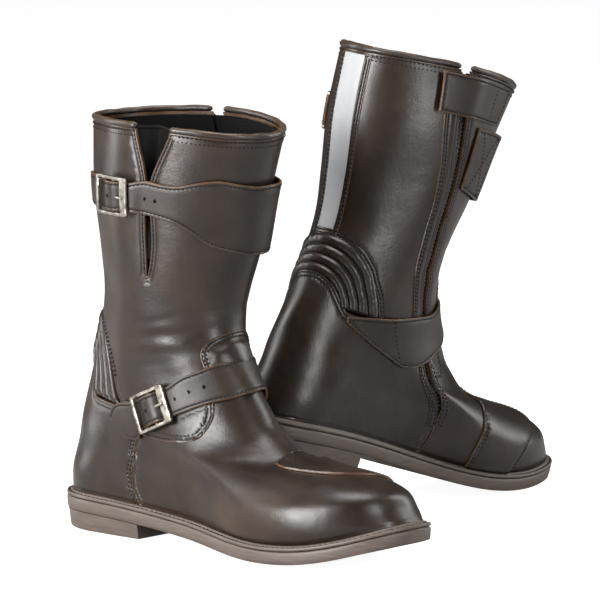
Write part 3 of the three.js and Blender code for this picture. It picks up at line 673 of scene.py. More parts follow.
def leather(name, dark, light, tan, rough=0.36, wear=1.0, narrow=1.0, shine=0.5):
    """Waxed leather: cloudy colour, fine grain, tan raw edges, sewn lines darkened (pressed channel colour plus
    painted shade in the groove) and a satin gloss.
    """
    n = Nodes(name)
    cloud = n.noise(24, 4)
    base = n.ramp(cloud, (0.3, dark), (0.72, light))
    mottle = n.noise(150, 3)
    base = n.blend(n.math("MULTIPLY", mottle, 0.4), base, rgb(*[0.5 * c for c in dark]))
    rubbed = n.ramp(n.noise(9, 3), (0.6, (0, 0, 0)), (0.78, (1, 1, 1)))
    paler = rgb(*[1.1 * a + 0.22 * b for a, b in zip(light, tan)])
    base = n.blend(n.math("MULTIPLY", rubbed, 0.42), base, paler)
    # Darker along sewn lines: partly the pressed stitch channel's own colour, partly painted shade in the
    # groove.
    base = n.blend(n.math("MULTIPLY", n.attribute("sewn"), 0.4), base, rgb(*[0.3 * c for c in dark]))
    raw = n.math("POWER", n.attribute("edge"), narrow)
    worn = n.math("MULTIPLY", raw, n.math("MULTIPLY_ADD", n.noise(120, 2), 1.6, -0.1))
    share = n.node("ShaderNodeClamp", {"Value": n.math("MULTIPLY", worn, wear)}).outputs[0]
    color = n.blend(share, base, rgb(*tan))
    gloss = n.math("MULTIPLY_ADD", n.noise(55, 4), 0.26, rough - 0.13)
    grain = n.bump(n.cells(760, "SMOOTH_F1"), 0.00014, 0.3)
    pores = n.bump(n.noise(1700, 2), 0.0001, 0.3, grain)
    scuffs = n.bump(n.noise(80, 5, (1, 1, 0.5)), 0.0008, 0.3, pores)
    streaks = n.bump(n.noise(14, 4, (1, 1, 2.2)), 0.004, 0.16, scuffs)
    return n.finish(Base_Color=color, Roughness=gloss, Normal=streaks, Specular_IOR_Level=shine)


def sole_rubber():
    """Grey-brown sole with faint brush lines along its edge."""
    n = Nodes("sole")
    lines = n.noise(55, 4, (1, 1, 14))
    base = n.ramp(lines, (0.3, (0.062, 0.045, 0.036)), (0.72, (0.112, 0.086, 0.069)))
    color = n.blend(n.math("MULTIPLY", n.noise(40, 3), 0.35), base, rgb(0.045, 0.033, 0.026))
    bump = n.bump(lines, 0.0003, 0.3, n.bump(n.noise(1400, 2), 0.0001, 0.3))
    return n.finish(Base_Color=color, Roughness=n.math("MULTIPLY_ADD", lines, 0.2, 0.42), Normal=bump)


def textile(name, dark, light, pitch=1300.0, rough=0.9):
    """Close woven cloth."""
    n = Nodes(name)
    wave = n.node("ShaderNodeTexWave", {"Vector": n.coords, "Scale": pitch / 6.3, "Distortion": 0.4})
    cross = n.node(
        "ShaderNodeTexWave", {"Vector": n.coords, "Scale": pitch / 6.3, "Distortion": 0.4}, bands_direction="Z"
    )
    weave = n.math("MULTIPLY", wave.outputs["Fac"], cross.outputs["Fac"])
    share = n.math("MULTIPLY_ADD", n.noise(70, 3), 0.5, n.math("MULTIPLY", weave, 0.5))
    color = n.blend(share, rgb(*dark), rgb(*light))
    bump = n.bump(weave, 0.0002, 0.6)
    return n.finish(Base_Color=color, Roughness=rough, Normal=bump, Specular_IOR_Level=0.15)


def metal(name, dark, light, rough=0.3):
    """Antique plated metal: satin, with a cloudy darker and lighter colour."""
    n = Nodes(name)
    cloud = n.noise(220, 4)
    color = n.ramp(cloud, (0.3, dark), (0.62, light))
    bump = n.bump(n.noise(1500, 2, (1, 1, 5)), 0.00008, 0.35)
    gloss = n.math("MULTIPLY_ADD", n.noise(500, 3), 0.22, rough - 0.08)
    return n.finish(Base_Color=color, Roughness=gloss, Normal=bump, Metallic=1.0)


def reflective_cloth():
    """Grey retroreflective tape with a fine bead texture."""
    n = Nodes("reflective")
    beads = n.cells(2600)
    color = n.blend(n.noise(45, 4), rgb(0.24, 0.243, 0.25), rgb(0.34, 0.343, 0.347))
    bump = n.bump(beads, 0.0001, 0.4)
    return n.finish(Base_Color=color, Roughness=0.5, Normal=bump, Sheen_Weight=0.15)


def thread_finish(name, dark, light):
    n = Nodes(name)
    inputs = {"Vector": n.coords, "Scale": 420.0, "Distortion": 1.0}
    twist = n.node("ShaderNodeTexWave", inputs, bands_direction="DIAGONAL")
    color = n.blend(n.math("MULTIPLY", twist.outputs["Fac"], n.noise(55, 2)), rgb(*dark), rgb(*light))
    bump = n.bump(twist.outputs["Fac"], 0.0001, 0.5)
    return n.finish(Base_Color=color, Roughness=0.8, Specular_IOR_Level=0.25, Normal=bump)


HIDE = leather(
    "leather", (0.0102, 0.0058, 0.0039), (0.0315, 0.0192, 0.0126), (0.15, 0.076, 0.036),
    rough=0.34, wear=0.55, narrow=1.6, shine=0.42,
)
STRAP_HIDE = leather(
    "strap_leather", (0.0115, 0.0069, 0.0047), (0.0275, 0.0172, 0.0116), (0.17, 0.088, 0.04),
    rough=0.42, wear=0.85, narrow=1.7, shine=0.36,
)
TRIM = leather("trim_leather", (0.0105, 0.007, 0.0052), (0.025, 0.0165, 0.012), (0.15, 0.083, 0.04), 0.38, 0.9)
# Near-black leather for the vent's gusset and folded binding: darker than black leather, as painted shade inside
# the vent.
BLACK_HIDE_AND_SHADE = leather(
    "black_leather_and_shade", (0.0012, 0.0011, 0.001), (0.003, 0.0027, 0.0024), (0.004, 0.0035, 0.003),
    rough=0.75, wear=0.3, shine=0.12,
)
BOARD = leather("leatherboard", (0.2, 0.14, 0.085), (0.33, 0.25, 0.16), (0.36, 0.27, 0.17), 0.75)
SOLE = sole_rubber()
# Near-black lining cloth, darker than black cloth: painted shade inside the boot.
LINING_AND_SHADE = textile("lining_cloth", (0.0012, 0.0012, 0.0012), (0.0045, 0.0043, 0.004))
# Near-black cloth: the zip tape's own colour, and the painted shade of the strap holes.
TAPE_AND_HOLE_SHADE = textile("zip_tape", (0.0015, 0.0015, 0.0015), (0.005, 0.0048, 0.0048), 1900.0)
FOAM = textile("footbed_cover", (0.012, 0.012, 0.013), (0.04, 0.04, 0.042), 900.0)
NICKEL = metal("antique_nickel", (0.1, 0.088, 0.073), (0.36, 0.33, 0.29), 0.36)
STEEL = metal("spring_steel", (0.32, 0.32, 0.32), (0.55, 0.55, 0.55), 0.35)
REFLECT = reflective_cloth()
PLASTIC = leather("zip_plastic", (0.006, 0.006, 0.006), (0.014, 0.013, 0.013), (0.016, 0.014, 0.013), 0.45, 0.2)
DARK_THREAD = thread_finish("dark_thread", (0.003, 0.0022, 0.002), (0.016, 0.011, 0.008))
WELT_THREAD = thread_finish("welt_thread", (0.004, 0.003, 0.0026), (0.018, 0.013, 0.01))

# ---- lines shared by the panels ----

ZIP_END = 2.4
ZIP_GAP = 4.6
zip_line = through([(0, 272), (2.4, 267), (5, 256), (7, 248), (8.8, 258), (10.5, 271), (12, 286)])


def per_degree_at(angle, level):
    around, _ = slopes(np.asarray(angle, float), np.asarray(level, float))
    return np.linalg.norm(around, axis=-1)


def zip_half(level):
    level = np.asarray(level, float)
    opening = np.where(level < ZIP_END, 0.35, mix(0.35, ZIP_GAP - 0.6, ease((level - ZIP_END) / 1.6)))
    return opening / per_degree_at(zip_line(level), level)


def zip_front(level):
    return zip_line(level) - zip_half(level)


def zip_rear(level):
    return zip_line(level) + zip_half(level) - 360


VENT_ANGLE = 103
VENT_FOOT = 9.55


def vent_half(level):
    level = np.asarray(level, float)
    slit = 1.7 * np.clip(np.sin(np.pi * (level - VENT_FOOT) / 1.5), 0, 1) * (level < VENT_FOOT + 1.5)
    return 0.15 + 9.7 * ease(level - 11) + np.clip(level - VENT_FOOT, 0, 1) * 0.3 + slit


waist_line = through([
    (104, 6.04), (110, 6.1), (140, 6.7), (180, 7.1), (220, 6.9), (250, 6.3), (292, 5.9),
])
quarter_top = through([
    (-95, 5.9), (-69, 6.2), (-46, 6.2), (-38, 6.6), (-28, 7.02), (-14, 7.26), (0, 7.32), (14, 7.26),
    (28, 7.02), (37, 6.6), (42, 6.1), (44, 5.55), (69, 5.6), (80, 5.75), (90, 5.75),
])
rear_low = through([
    (-112, 6.2), (-95, 6.1), (-69, 6.25), (-65, 6.95), (-53, 7.75), (-42, 8.1), (-31, 8.3), (-15, 8.46),
    (0, 8.5),
    (15, 8.46), (31, 8.3), (42, 8.1), (53, 7.75), (62, 7.25), (66, 6.85), (69, 5.9), (71, 5.65), (104, 6.0),
])
quarter_seam = through([(0, 65), (1.0, 63), (1.9, 63), (3.3, 67), (4.7, 77), (6, 86)])
ARCH_OUT = [
    (-68, 6.3), (-64, 6.95), (-53, 7.8), (-31, 8.36), (0, 8.56), (31, 8.36), (53, 7.8), (65, 6.9), (68, 5.7),
]
ARCH_IN = [
    (-40, 6.3), (-37, 6.6), (-28, 7.0), (-14, 7.24), (0, 7.3), (14, 7.24), (28, 7.0), (38, 6.5), (41, 5.7),
]

# ---- panels of the upper ----


def panels():
    seam = by_level(quarter_seam, 0.0, 5.95)
    zip_low = by_level(zip_front, 0.0, 6.3)
    vamp_top = by_angle(lambda a: waist_line(a) - 0.02, zip_front(6.3), 104)
    tie = np.array([vamp_top[-1], (quarter_seam(5.95) + 0.0, 5.95)])
    vamp = outline(by_angle(0.0, seam[0, 0], zip_low[0, 0]), zip_low, vamp_top, tie, seam[::-1])
    add("vamp_leather", patch(vamp, grooves=(2.2,)), HIDE, replaces=["vamp"])

    rear_seam = by_level(lambda level: quarter_seam(level) - 0.05, 0.0, 5.7)
    zip_back = by_level(zip_rear, 0.0, 6.0)
    top = by_angle(quarter_top, rear_seam[-1, 0], zip_back[-1, 0])
    quarter = outline(by_angle(0.0, zip_back[0, 0], rear_seam[0, 0]), rear_seam, top, zip_back[::-1])
    add(
        "heel_quarter_leather",
        patch(quarter, (-1.9, 0.35), grooves=(2.0, 4.6)),
        HIDE, replaces=["heel_quarter"],
    )
    edge = by_level(lambda level: quarter_seam(level) - 0.05, 0.15, 5.6)
    for gap in (2.0, 4.6):
        stitch(inset(edge, gap, False), 0.25)
        stitch(inset(by_angle(quarter_top, 42, -80), gap, False), 0.25)

    low_rear = by_angle(rear_low, zip_rear(6.1), 104)
    low_front = by_angle(waist_line, 104, zip_front(6.3))
    up = by_level(zip_front, 6.3, TOP)
    notch_front = by_level(lambda level: VENT_ANGLE + vent_half(level), TOP, VENT_FOOT)
    notch_rear = by_level(lambda level: VENT_ANGLE - vent_half(level), VENT_FOOT, TOP)
    down = by_level(zip_rear, TOP, 6.1)
    shaft = outline(
        low_rear, low_front, up, by_angle(TOP, up[-1, 0], notch_front[0, 0]), notch_front, notch_rear,
        by_angle(TOP, notch_rear[-1, 0], down[0, 0]), down,
    )
    add(
        "shaft_leather",
        patch(shaft, (-1.9, 0.45), grooves=(1.8, 4.2)),
        HIDE, replaces=["shaft_front", "shaft_rear"],
    )
    for gap in (1.8, 4.2):
        stitch(inset(by_angle(rear_low, -82, 67), gap, False), 0.4)
    foot = VENT_FOOT + 0.12
    stitch(inset(notch_front[notch_front[:, 1] > foot], 1.9, False), 0.35)
    stitch(inset(notch_rear[notch_rear[:, 1] > foot], 1.9, False), 0.35)
    stitch(inset(by_angle(TOP, up[-1, 0] - 2, notch_front[0, 0] + 2), 4.2, False), 0.4)
    stitch(inset(by_angle(TOP, notch_rear[-1, 0] - 2, down[0, 0] + 2), 4.2, False), 0.4)
    stitch(inset(by_level(zip_front, 7.0, 11.8), 1.8, False), 0.35)


def facings():
    """Strips sewn along the zip: one behind it up the shaft, and two short ones below the ankle strap."""
    def behind(level):
        return zip_rear(level) + 12.0 / per_degree_at(zip_line(level), level)

    rear = outline(
        by_level(lambda level: zip_rear(level) - 0.2, 11.93, 6.4), by_angle(6.4, zip_rear(6.4), behind(6.4), 8),
        by_level(behind, 6.4, 11.93), by_angle(11.93, behind(11.93), zip_rear(11.93), 8),
    )
    low = []
    for start, end in ((-7.5, -0.4), (0.4, 7.0)):
        def at(offset):
            def angle(level):
                scale = per_degree_at(zip_line(level), level)
                step = offset + np.sign(offset) * (zip_half(level) * scale - 0.4)
                return zip_line(level) + step / scale
            return angle
        foot = 1.95 if start < 0 else 1.75
        low.append(outline(
            by_level(at(start), 5.6, foot), by_angle(foot, at(start)(foot), at(end)(foot), 8),
            by_level(at(end), foot, 5.6), by_angle(5.6, at(end)(5.6), at(start)(5.6), 8),
        ))
    low[1] = low[1] - [360, 0]
    shapes = [patch(rear, (0.55, 1.35), grooves=(1.5, 3.6))]
    shapes += [patch(path, (0.45, 1.2), grooves=(1.4,), spacing=1.8) for path in low]
    add("zip_facings", joined(*shapes), HIDE)
    for gap in (1.5, 3.6):
        line = lambda level: behind(level) - gap / per_degree_at(zip_line(level), level)
        stitch(by_level(line, 6.5, 11.8), 1.2)
    for path in low:
        stitch(resample(np.vstack([inset(path, 1.4), inset(path, 1.4)[:1]]), 0.6), 1.1)


def overlays():
    """Reinforcements sewn over the vamp under the ankle strap: a D outside and a U inside."""
    d_edge = curve([(80, 4.72), (88, 4.8), (99, 5.0), (113, 5.3), (124, 5.7), (134, 6.15), (140, 6.6)])
    d_path = outline(d_edge, curve([(140, 6.6), (125, 6.35), (105, 5.9), (88, 5.3), (80, 4.95)]))
    u_edge = curve([(232, 6.1), (234, 5.7), (240, 5.35), (247, 5.15), (253.2, 5.02)])
    u_path = outline(u_edge, [(253.2, 5.02), (248.2, 6.1)], by_angle(6.1, 248.2, 232))
    d_shape = patch(d_path, (0.1, 1.1), grooves=(1.8, 4.2))
    u_shape = patch(u_path, (0.1, 1.1), grooves=(1.6,), spacing=1.8)
    add("ankle_overlays", joined(d_shape, u_shape), HIDE)
    for gap in (1.8, 4.2):
        stitch(inset(d_edge, gap, False), 1.0)
    stitch(inset(u_edge, 1.6, False), 1.0)
    stitch(inset(u_edge, 3.8, False), 1.0)


def guard():
    """Shift guard: a tongue over the instep that runs down to the inner sole edge."""
    rear = curve([
        (160, 5.0), (172, 5.2), (190, 5.2), (204, 4.75), (222, 4.2), (240, 3.3), (252, 1.8), (256, 0.0),
    ])
    front = curve([
        (237, 0.0), (232, 1.2), (222, 2.0), (208, 2.55), (195, 2.95), (182, 3.35), (168, 3.75), (157, 4.2),
    ])
    nose = curve([(157, 4.2), (153.6, 4.45), (153, 4.7), (155.2, 4.9), (160, 5.0)])
    path = outline(front, nose, rear, by_angle(0.0, 256, 237, 12))
    add(
        "shift_guard_leather",
        patch(path, (0.3, 1.9), grooves=(1.8,), round_by=1.0),
        HIDE, replaces=["shift_guard"],
    )
    stitch(inset(front[:-2], -1.9, False), 1.75)
    stitch(inset(np.vstack([nose, rear[:-6]]), -1.9, False), 1.75)
    stitch(inset(rear[6:-6], -4.3, False), 1.8)


def inflate(shape, free, pressure, frames=14, grow=1.02, scale=0.02, cap=1.6):
    """The shape blown up like a sewn pad by cloth simulation. free is 0 where it is sewn down and 1 between."""
    verts, faces, marks = shape
    mesh = bpy.data.meshes.new("pad_trial")
    mesh.from_pydata((verts * scale).tolist(), [], faces)
    ob = bpy.data.objects.new("pad_trial", mesh)
    scene = bpy.context.scene
    scene.collection.objects.link(ob)
    group = ob.vertex_groups.new(name="sewn")
    for i, value in enumerate(free):
        group.add([i], float(1 - value), "REPLACE")
    cloth = ob.modifiers.new("cloth", "CLOTH")
    settings = cloth.settings
    settings.quality = 6
    settings.mass = 0.25
    settings.tension_stiffness = 12
    settings.compression_stiffness = 8
    settings.bending_stiffness = 0.6
    settings.vertex_group_mass = "sewn"
    settings.pin_stiffness = 50
    settings.use_pressure = True
    settings.uniform_pressure_force = pressure
    settings.shrink_min = 1 - grow
    settings.effector_weights.gravity = 0
    cloth.collision_settings.use_collision = False
    cloth.point_cache.frame_start = 1
    cloth.point_cache.frame_end = frames
    for f in range(1, frames + 1):
        scene.frame_set(f)
    done = ob.evaluated_get(bpy.context.evaluated_depsgraph_get()).to_mesh()
    out = np.zeros(len(done.vertices) * 3, np.float32)
    done.vertices.foreach_get("co", out)
    out = out.reshape(-1, 3) / scale
    bpy.data.objects.remove(ob)
    scene.frame_set(1)
    step = out - verts
    size = np.linalg.norm(step, axis=1, keepdims=True)
    step = step * np.minimum(1, cap / np.maximum(size, 1e-9))
    return verts + step * np.asarray(free)[:, None], faces, marks


RIBS = 4


def flex_panel():
    """Ribbed stretch panel round the back of the ankle: padded ribs between sewn channels."""
    across, along = 49, 110
    inner, outer = curve(ARCH_IN, 40), curve(ARCH_OUT, 40)
    s = np.linspace(0, 1, along)

    def pick(path):
        share = np.linspace(0, 1, len(path))
        return np.stack([np.interp(s, share, path[:, k]) for k in range(2)], -1)

    a, b = pick(inner), pick(outer)
    v = np.linspace(0, 1, across)
    at = a[:, None] + (b - a)[:, None] * v[None, :, None]
    wave = np.abs(np.sin(RIBS * np.pi * v))
    height = 0.1 + 2.3 * wave**0.55
    angle, level = at[..., 0], at[..., 1]
    n = normal(angle, level)
    base = on_boot(angle, level)
    ends = ease(np.minimum(s, 1 - s) / 0.03)[:, None]
    top = base + n * (height[None] * (0.35 + 0.65 * ends))[..., None]
    shape = block(top, base + n * -1.6)
    shape[2]["edge"][:] = 0.0
    free = np.concatenate([(ends * np.clip(wave * 1.6 - 0.35, 0, 1)[None]).ravel(), np.zeros(along * across)])
    shape = inflate(shape, free, 6.0, cap=0.9)
    for ob in add("flex_panel_pad", shape, HIDE, replaces=["flex_panel"]):
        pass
    for k in range(1, RIBS):
        line = at[4:-4, int(round((across - 1) * k / RIBS))]
        stitch(line, 0.1, pitch=2.9, length=1.9, radius=0.3)


def instep_pad():
    """Padded patch over the front of the ankle, double sewn round its edge."""
    top = curve([
        (142, 7.1), (143, 7.62), (148, 7.85), (156, 8.02), (172, 8.17), (192, 8.2), (206, 8.08), (214, 7.8),
        (216, 7.1),
    ])
    path = outline(top, by_angle(7.1, 216, 142), step=1.3)
    swell = lambda angle, level, d: 1.9 * ease((d - 4.6) / 7)
    shape = patch(path, (0.6, 2.0), spacing=1.9, grooves=(1.6, 4.0), swell=swell)
    verts, _, marks = shape
    n = len(verts) // 2
    d = -0.7 * np.log(np.maximum(marks["edge"][:n], 1e-9))
    free = np.concatenate([ease((d - 5.0) / 3), np.zeros(n)])
    shape = inflate(shape, free, 5.0, cap=1.2)
    for ob in add("instep_pad_leather", shape, HIDE, replaces=["instep_pad"]):
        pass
    for gap in (1.6, 4.0):
        stitch(inset(top, -gap, False), 1.9)


def back_strip():
    """Reflective strip up the back with a leather band on each side and a squared foot."""
    middle = 4.0

    def left(half):
        return lambda level: level * 0 + middle - half

    def right(half):
        return lambda level: level * 0 + middle + half

    def frame_path(half, foot, head):
        return outline(
            by_angle(foot, middle - half, middle + half), by_level(right(half), foot, head),
            by_angle(head, middle + half, middle - half), by_level(left(half), head, foot),
        )

    add("back_band", patch(frame_path(16.2, 8.5, 11.93), (0.55, 1.25), grooves=(1.4, 3.6)), HIDE)
    add(
        "reflective_tape",
        patch(frame_path(10.8, 8.7, 11.9), (1.35, 1.85), spacing=3.0, round_by=0.4),
        REFLECT, replaces=["reflective_strip"],
    )
    for half, foot in ((14.7, 8.56), (12.3, 8.65)):
        u_line = np.vstack([
            by_level(right(half), 11.85, foot), by_angle(foot, middle + half, middle - half, 30),
            by_level(left(half), foot, 11.85),
        ])
        stitch(resample(u_line, 0.6), 1.15)


def dip(angle, level):
    """How far the lining and the gusset fold inwards behind the vent."""
    half = vent_half(np.full_like(np.asarray(angle, float), TOP)) + 1.5
    return 9 * ease((level - 10.3) / 1.6) * ease(1 - np.abs(angle - VENT_ANGLE) / half)


def inside_parts():
    """Lining and folded gusset in the vent."""
    levels = np.linspace(0.5, 11.93, 60)
    angles = np.linspace(0.004, 0.996, 150)
    start, end = zip_line(levels) - 358.6, zip_line(levels) - 1.4
    angle = start[None] + (end - start)[None] * angles[:, None]
    toe_rise = 0.8 * ((1 - np.cos(np.radians(angle))) / 2) ** 6 * ease((3 - levels[None]) / 3)
    level = np.broadcast_to(levels[None], angle.shape) + toe_rise
    level = np.minimum(level, 11.93)
    n, base = normal(angle, level), skin(angle, level)
    push = dip(angle, level)
    # Lining in near-black cloth: painted shade inside the boot.
    add(
        "lining_cloth",
        block(base - n * (4.6 + push)[..., None], base - n * (5.6 + push)[..., None]),
        LINING_AND_SHADE, replaces=["lining"],
    )
    v = np.linspace(0, 1, 26)
    w = np.linspace(-1, 1, 21)
    level = mix(9.9, 11.97, v)[None] + 0 * w[:, None]
    angle = VENT_ANGLE + w[:, None] * (vent_half(level) + 0.6)
    deep = 8.8 * ease(v * 1.3)[None] * (1 - np.abs(w)[:, None] ** 1.3)
    n, base = normal(angle, level), skin(angle, level)
    # Gusset in near-black leather, darkened as painted shade inside the vent.
    add(
        "vent_gusset",
        block(base - n * (2.0 + deep)[..., None], base - n * (2.9 + deep)[..., None]),
        BLACK_HIDE_AND_SHADE, replaces=["gusset"],
    )


def collar():
    """Rolled binding round the top line, with its sewn edge."""
    gap = float(vent_half(TOP)) + 0.3
    spans = ((zip_rear(TOP) + 0.6, VENT_ANGLE - gap), (VENT_ANGLE + gap, zip_front(TOP) - 0.6))
    rolls = []
    for start, end in spans:
        angle = np.linspace(start, end, 150)
        wobble = 0.12 * np.sin(np.radians(angle) * 9) + 0.1 * np.sin(np.radians(angle) * 23 + 1)
        path = skin(angle, TOP) - normal(angle, TOP + 0 * angle) * 0.7
        path[:, 2] += 1.9 + wobble
        close = ease(np.minimum(angle - start, end - angle) / 1.6)
        radius = (2.25 + 0.1 * np.sin(np.radians(angle) * 17)) * (0.55 + 0.45 * close)
        shape = tube(path, radius, 14)
        top = shape[0][:, 2] - np.repeat(path[:, 2], 14)
        # The edge mark here goes by height: the binding's tan share rises towards the top of the roll.
        shape[2]["edge"][:] = ease((top - 0.3) / 2.2) * 0.6
        rolls.append(shape)
        seam = path - [0, 0, 3.9] + normal(angle, TOP + 0 * angle) * 1.25
        stitch(None, place=(seam[4:-4], normal(angle, TOP + 0 * angle)[4:-4]), pitch=3.0)
    add("collar_binding", joined(*rolls), TRIM, replaces=["collar_piping"], sharp=80)
    angle = np.linspace(VENT_ANGLE - gap, VENT_ANGLE + gap, 60)
    deep = 1.6 + 8.2 * (1 - (np.abs(angle - VENT_ANGLE) / gap) ** 1.3)
    path = skin(angle, TOP) - normal(angle, TOP + 0 * angle) * deep[:, None]
    path[:, 2] += 0.9
    # Binding in near-black leather, darkened as painted shade inside the vent.
    add("vent_fold_binding", tube(path, 1.15, 10), BLACK_HIDE_AND_SHADE, sharp=80)


# ---- straps and buckles ----


def seat(level, angle, slope):
    """Axes on the boot: X round it towards the front, turned up by slope, and Z straight out."""
    out = normal(angle, level)
    along = skin(angle + 1, level) - skin(angle - 1, level)
    along = unit(along - out * (along @ out))
    turn = np.array(Matrix.Rotation(math.radians(slope), 3, Vector(out)))
    along = turn @ along
    return axes_at(along, np.cross(out, along), out, skin(angle, level))


ANKLE_PLACE = seat(5.98, 96, 32)
CALF_PLACE = seat(10.95, 82, -3)
FRAME_X, FRAME_Y = 15.0, 13.6
BAR_Z = 4.0
STRAP_HALF = 10.2


def on_upper(low_angle, low, high_angle, high, lift):
    """Strap row that follows the upper, from its low edge to its high edge."""
    def row(v):
        angle, level = mix(low_angle, high_angle, v), mix(low, high, v)
        return on_boot(angle, level, lift), normal(angle, level)
    return row


def in_buckle(place, x, height, tilt):
    """Strap row inside the buckle at x from the middle bar."""
    def row(v):
        even = np.ones(len(v))
        points = np.stack([even * x, mix(-STRAP_HALF, STRAP_HALF, v), even * height], -1)
        out = np.array([math.sin(tilt), 0, math.cos(tilt)])
        return points @ place[:3, :3].T + place[:3, 3], np.tile(place[:3, :3] @ out, (len(v), 1))
    return row


THREADING = [
    (-14.5, 2.9, 0), (-11, 3.0, -0.2), (-8.2, 4.2, -0.62), (-5.2, 6.15, -0.5), (-2.4, 7.1, -0.18),
    (0, 7.25, 0.0),
    (2.4, 7.05, 0.2), (4.9, 5.9, 0.6), (7.2, 4.0, 0.7), (9.6, 2.95, 0.25), (14.5, 2.85, 0),
]


def strap(name, before, place, after, replaces):
    rows = [on_upper(*row) for row in before]
    rows += [in_buckle(place, *row) for row in THREADING]
    rows += [on_upper(*row) for row in after]
    shape, p, n = ribbon(rows)
    add(name, shape, STRAP_HIDE, replaces=replaces)
    cols = p.shape[1]
    for column in (5, cols - 6):
        line, out = p[3:-3, column], n[3:-3, column]
        stitch(None, place=(line + out * 0.72, out))
    return p, n


def hole_shade_discs(p, n, places):
    """Punched holes drawn as painted shade: near-black discs on the strap's middle line, at given rows."""
    shapes = []
    middle = p.shape[1] // 2
    for row in places:
        centre, out = p[row, middle], n[row, middle]
        spine = [centre + out * 0.2, centre + out * 1.0, centre + out * 1.02]
        shapes.append(tube(spine, [1.15, 1.35, 1.2], 14, up=p[row, middle + 1] - centre))
    return joined(*shapes)


def nearest_row(p, angle, level):
    target = on_boot(angle, level, 2.5)
    return int(np.argmin(np.linalg.norm(p[:, p.shape[1] // 2] - target, axis=1)))


def roll_row(p, place):
    """The row where the strap rolls over the buckle's bar."""
    target = moved_point(place, (-2.6, 0, 7.1))
    return int(np.argmin(np.linalg.norm(p[:, p.shape[1] // 2] - target, axis=1)))


def straps():
    before = [(68, 4.2, 60, 5.1, 1.6), (77, 4.42, 67, 5.66, 2.4)]
    after = [
        (131, 6.38, 124, 7.05, 2.8), (142, 6.5, 138, 7.24, 2.4),
        (152, 6.57, 151, 7.38, 2.9), (165, 6.65, 165, 7.45, 3.2), (180, 6.7, 180, 7.5, 3.2),
        (195, 6.7, 195, 7.5, 3.2), (210, 6.6, 210, 7.42, 2.9), (225, 6.3, 225, 7.22, 2.5),
        (240, 5.95, 240, 6.97, 2.3), (256, 5.5, 256, 6.8, 2.2), (268, 5.12, 268, 6.66, 2.1),
        (276, 4.98, 276, 6.56, 2.0), (284, 5.14, 284, 6.46, 1.9), (300, 5.5, 300, 6.26, 1.8),
        (314, 5.84, 314, 6.08, 1.6),
    ]
    p, n = strap("ankle_strap_leather", before, ANKLE_PLACE, after, ["ankle_strap"])
    spots = [nearest_row(p, a, l) for a, l in ((113, 6.5), (124, 6.68), (137, 6.86))]
    # Strap holes as painted shade: near-black discs.
    add("ankle_strap_hole_shade", hole_shade_discs(p, n, [roll_row(p, ANKLE_PLACE), *spots]), TAPE_AND_HOLE_SHADE)
    across = np.linspace(0.08, 0.92, 20)
    stitch(np.stack([mix(276.5, 280.5, across), mix(5.15, 6.58, across)], -1), 2.95)

    before = [(36, 10.74, 34, 11.2, 1.6), (50, 10.72, 50, 11.2, 1.9), (63, 10.7, 63, 11.2, 2.5)]
    after = [
        (102, 10.68, 102, 11.2, 3.0), (112, 10.63, 112, 11.17, 2.4), (124, 10.55, 124, 11.17, 2.1),
        (134, 10.42, 136, 11.24, 2.2), (146, 10.2, 148, 11.28, 2.5), (162, 10.08, 162, 11.24, 3.5),
        (176, 10.02, 176, 11.2, 4.5), (190, 10.0, 190, 11.2, 5.1), (204, 10.0, 204, 11.19, 5.3),
        (220, 10.0, 220, 11.17, 4.7), (238, 10.05, 238, 11.17, 3.1), (258, 10.14, 262, 11.17, 1.9),
    ]
    p, n = strap("calf_strap_leather", before, CALF_PLACE, after, ["calf_strap"])
    spots = [nearest_row(p, a, l) for a, l in ((103, 10.94), (110, 10.9))]
    # Strap holes as painted shade: near-black discs.
    add("calf_strap_hole_shade", hole_shade_discs(p, n, [roll_row(p, CALF_PLACE), *spots]), TAPE_AND_HOLE_SHADE)
    cols = p.shape[1]
    first, last = nearest_row(p, 229, 10.6), len(p) - 5
    near, far = 5, cols - 6
    diagonals = [((first, near), (last, far)), ((first, far), (last, near))]
    for start, end in [*diagonals, ((first, near), (first, far))]:
        share = np.linspace(0, 1, 60)
        row, column = mix(start[0], end[0], share), mix(start[1], end[1], share)
        i, j = np.clip(row.astype(int), 0, len(p) - 2), np.clip(column.astype(int), 0, cols - 2)
        f, g = (row - i)[:, None], (column - j)[:, None]

        def at(grid):
            low, high = mix(grid[i, j], grid[i + 1, j], f), mix(grid[i, j + 1], grid[i + 1, j + 1], f)
            return mix(low, high, g)

        stitch(None, place=(at(p) + at(n) * 0.95, unit(at(n))))


def moved_point(place, point):
    return place[:3, :3] @ np.array(point, float) + place[:3, 3]


def rounded_rect(low, high, radius, per=6):
    corners = [((high[0] - radius, high[1] - radius), 0), ((low[0] + radius, high[1] - radius), 90),
               ((low[0] + radius, low[1] + radius), 180), ((high[0] - radius, low[1] + radius), 270)]
    path = []
    for (cx, cy), turn in corners:
        for k in range(per + 1):
            a = math.radians(turn + 90 * k / per)
            path.append((cx + radius * math.cos(a), cy + radius * math.sin(a)))
    path = np.array(path)
    dense = []
    for a, b in zip(path, np.roll(path, -1, 0)):
        n = max(1, int(np.linalg.norm(b - a) / 0.9))
        dense += [mix(a, b, k / n) for k in range(n)]
    return np.array(dense)


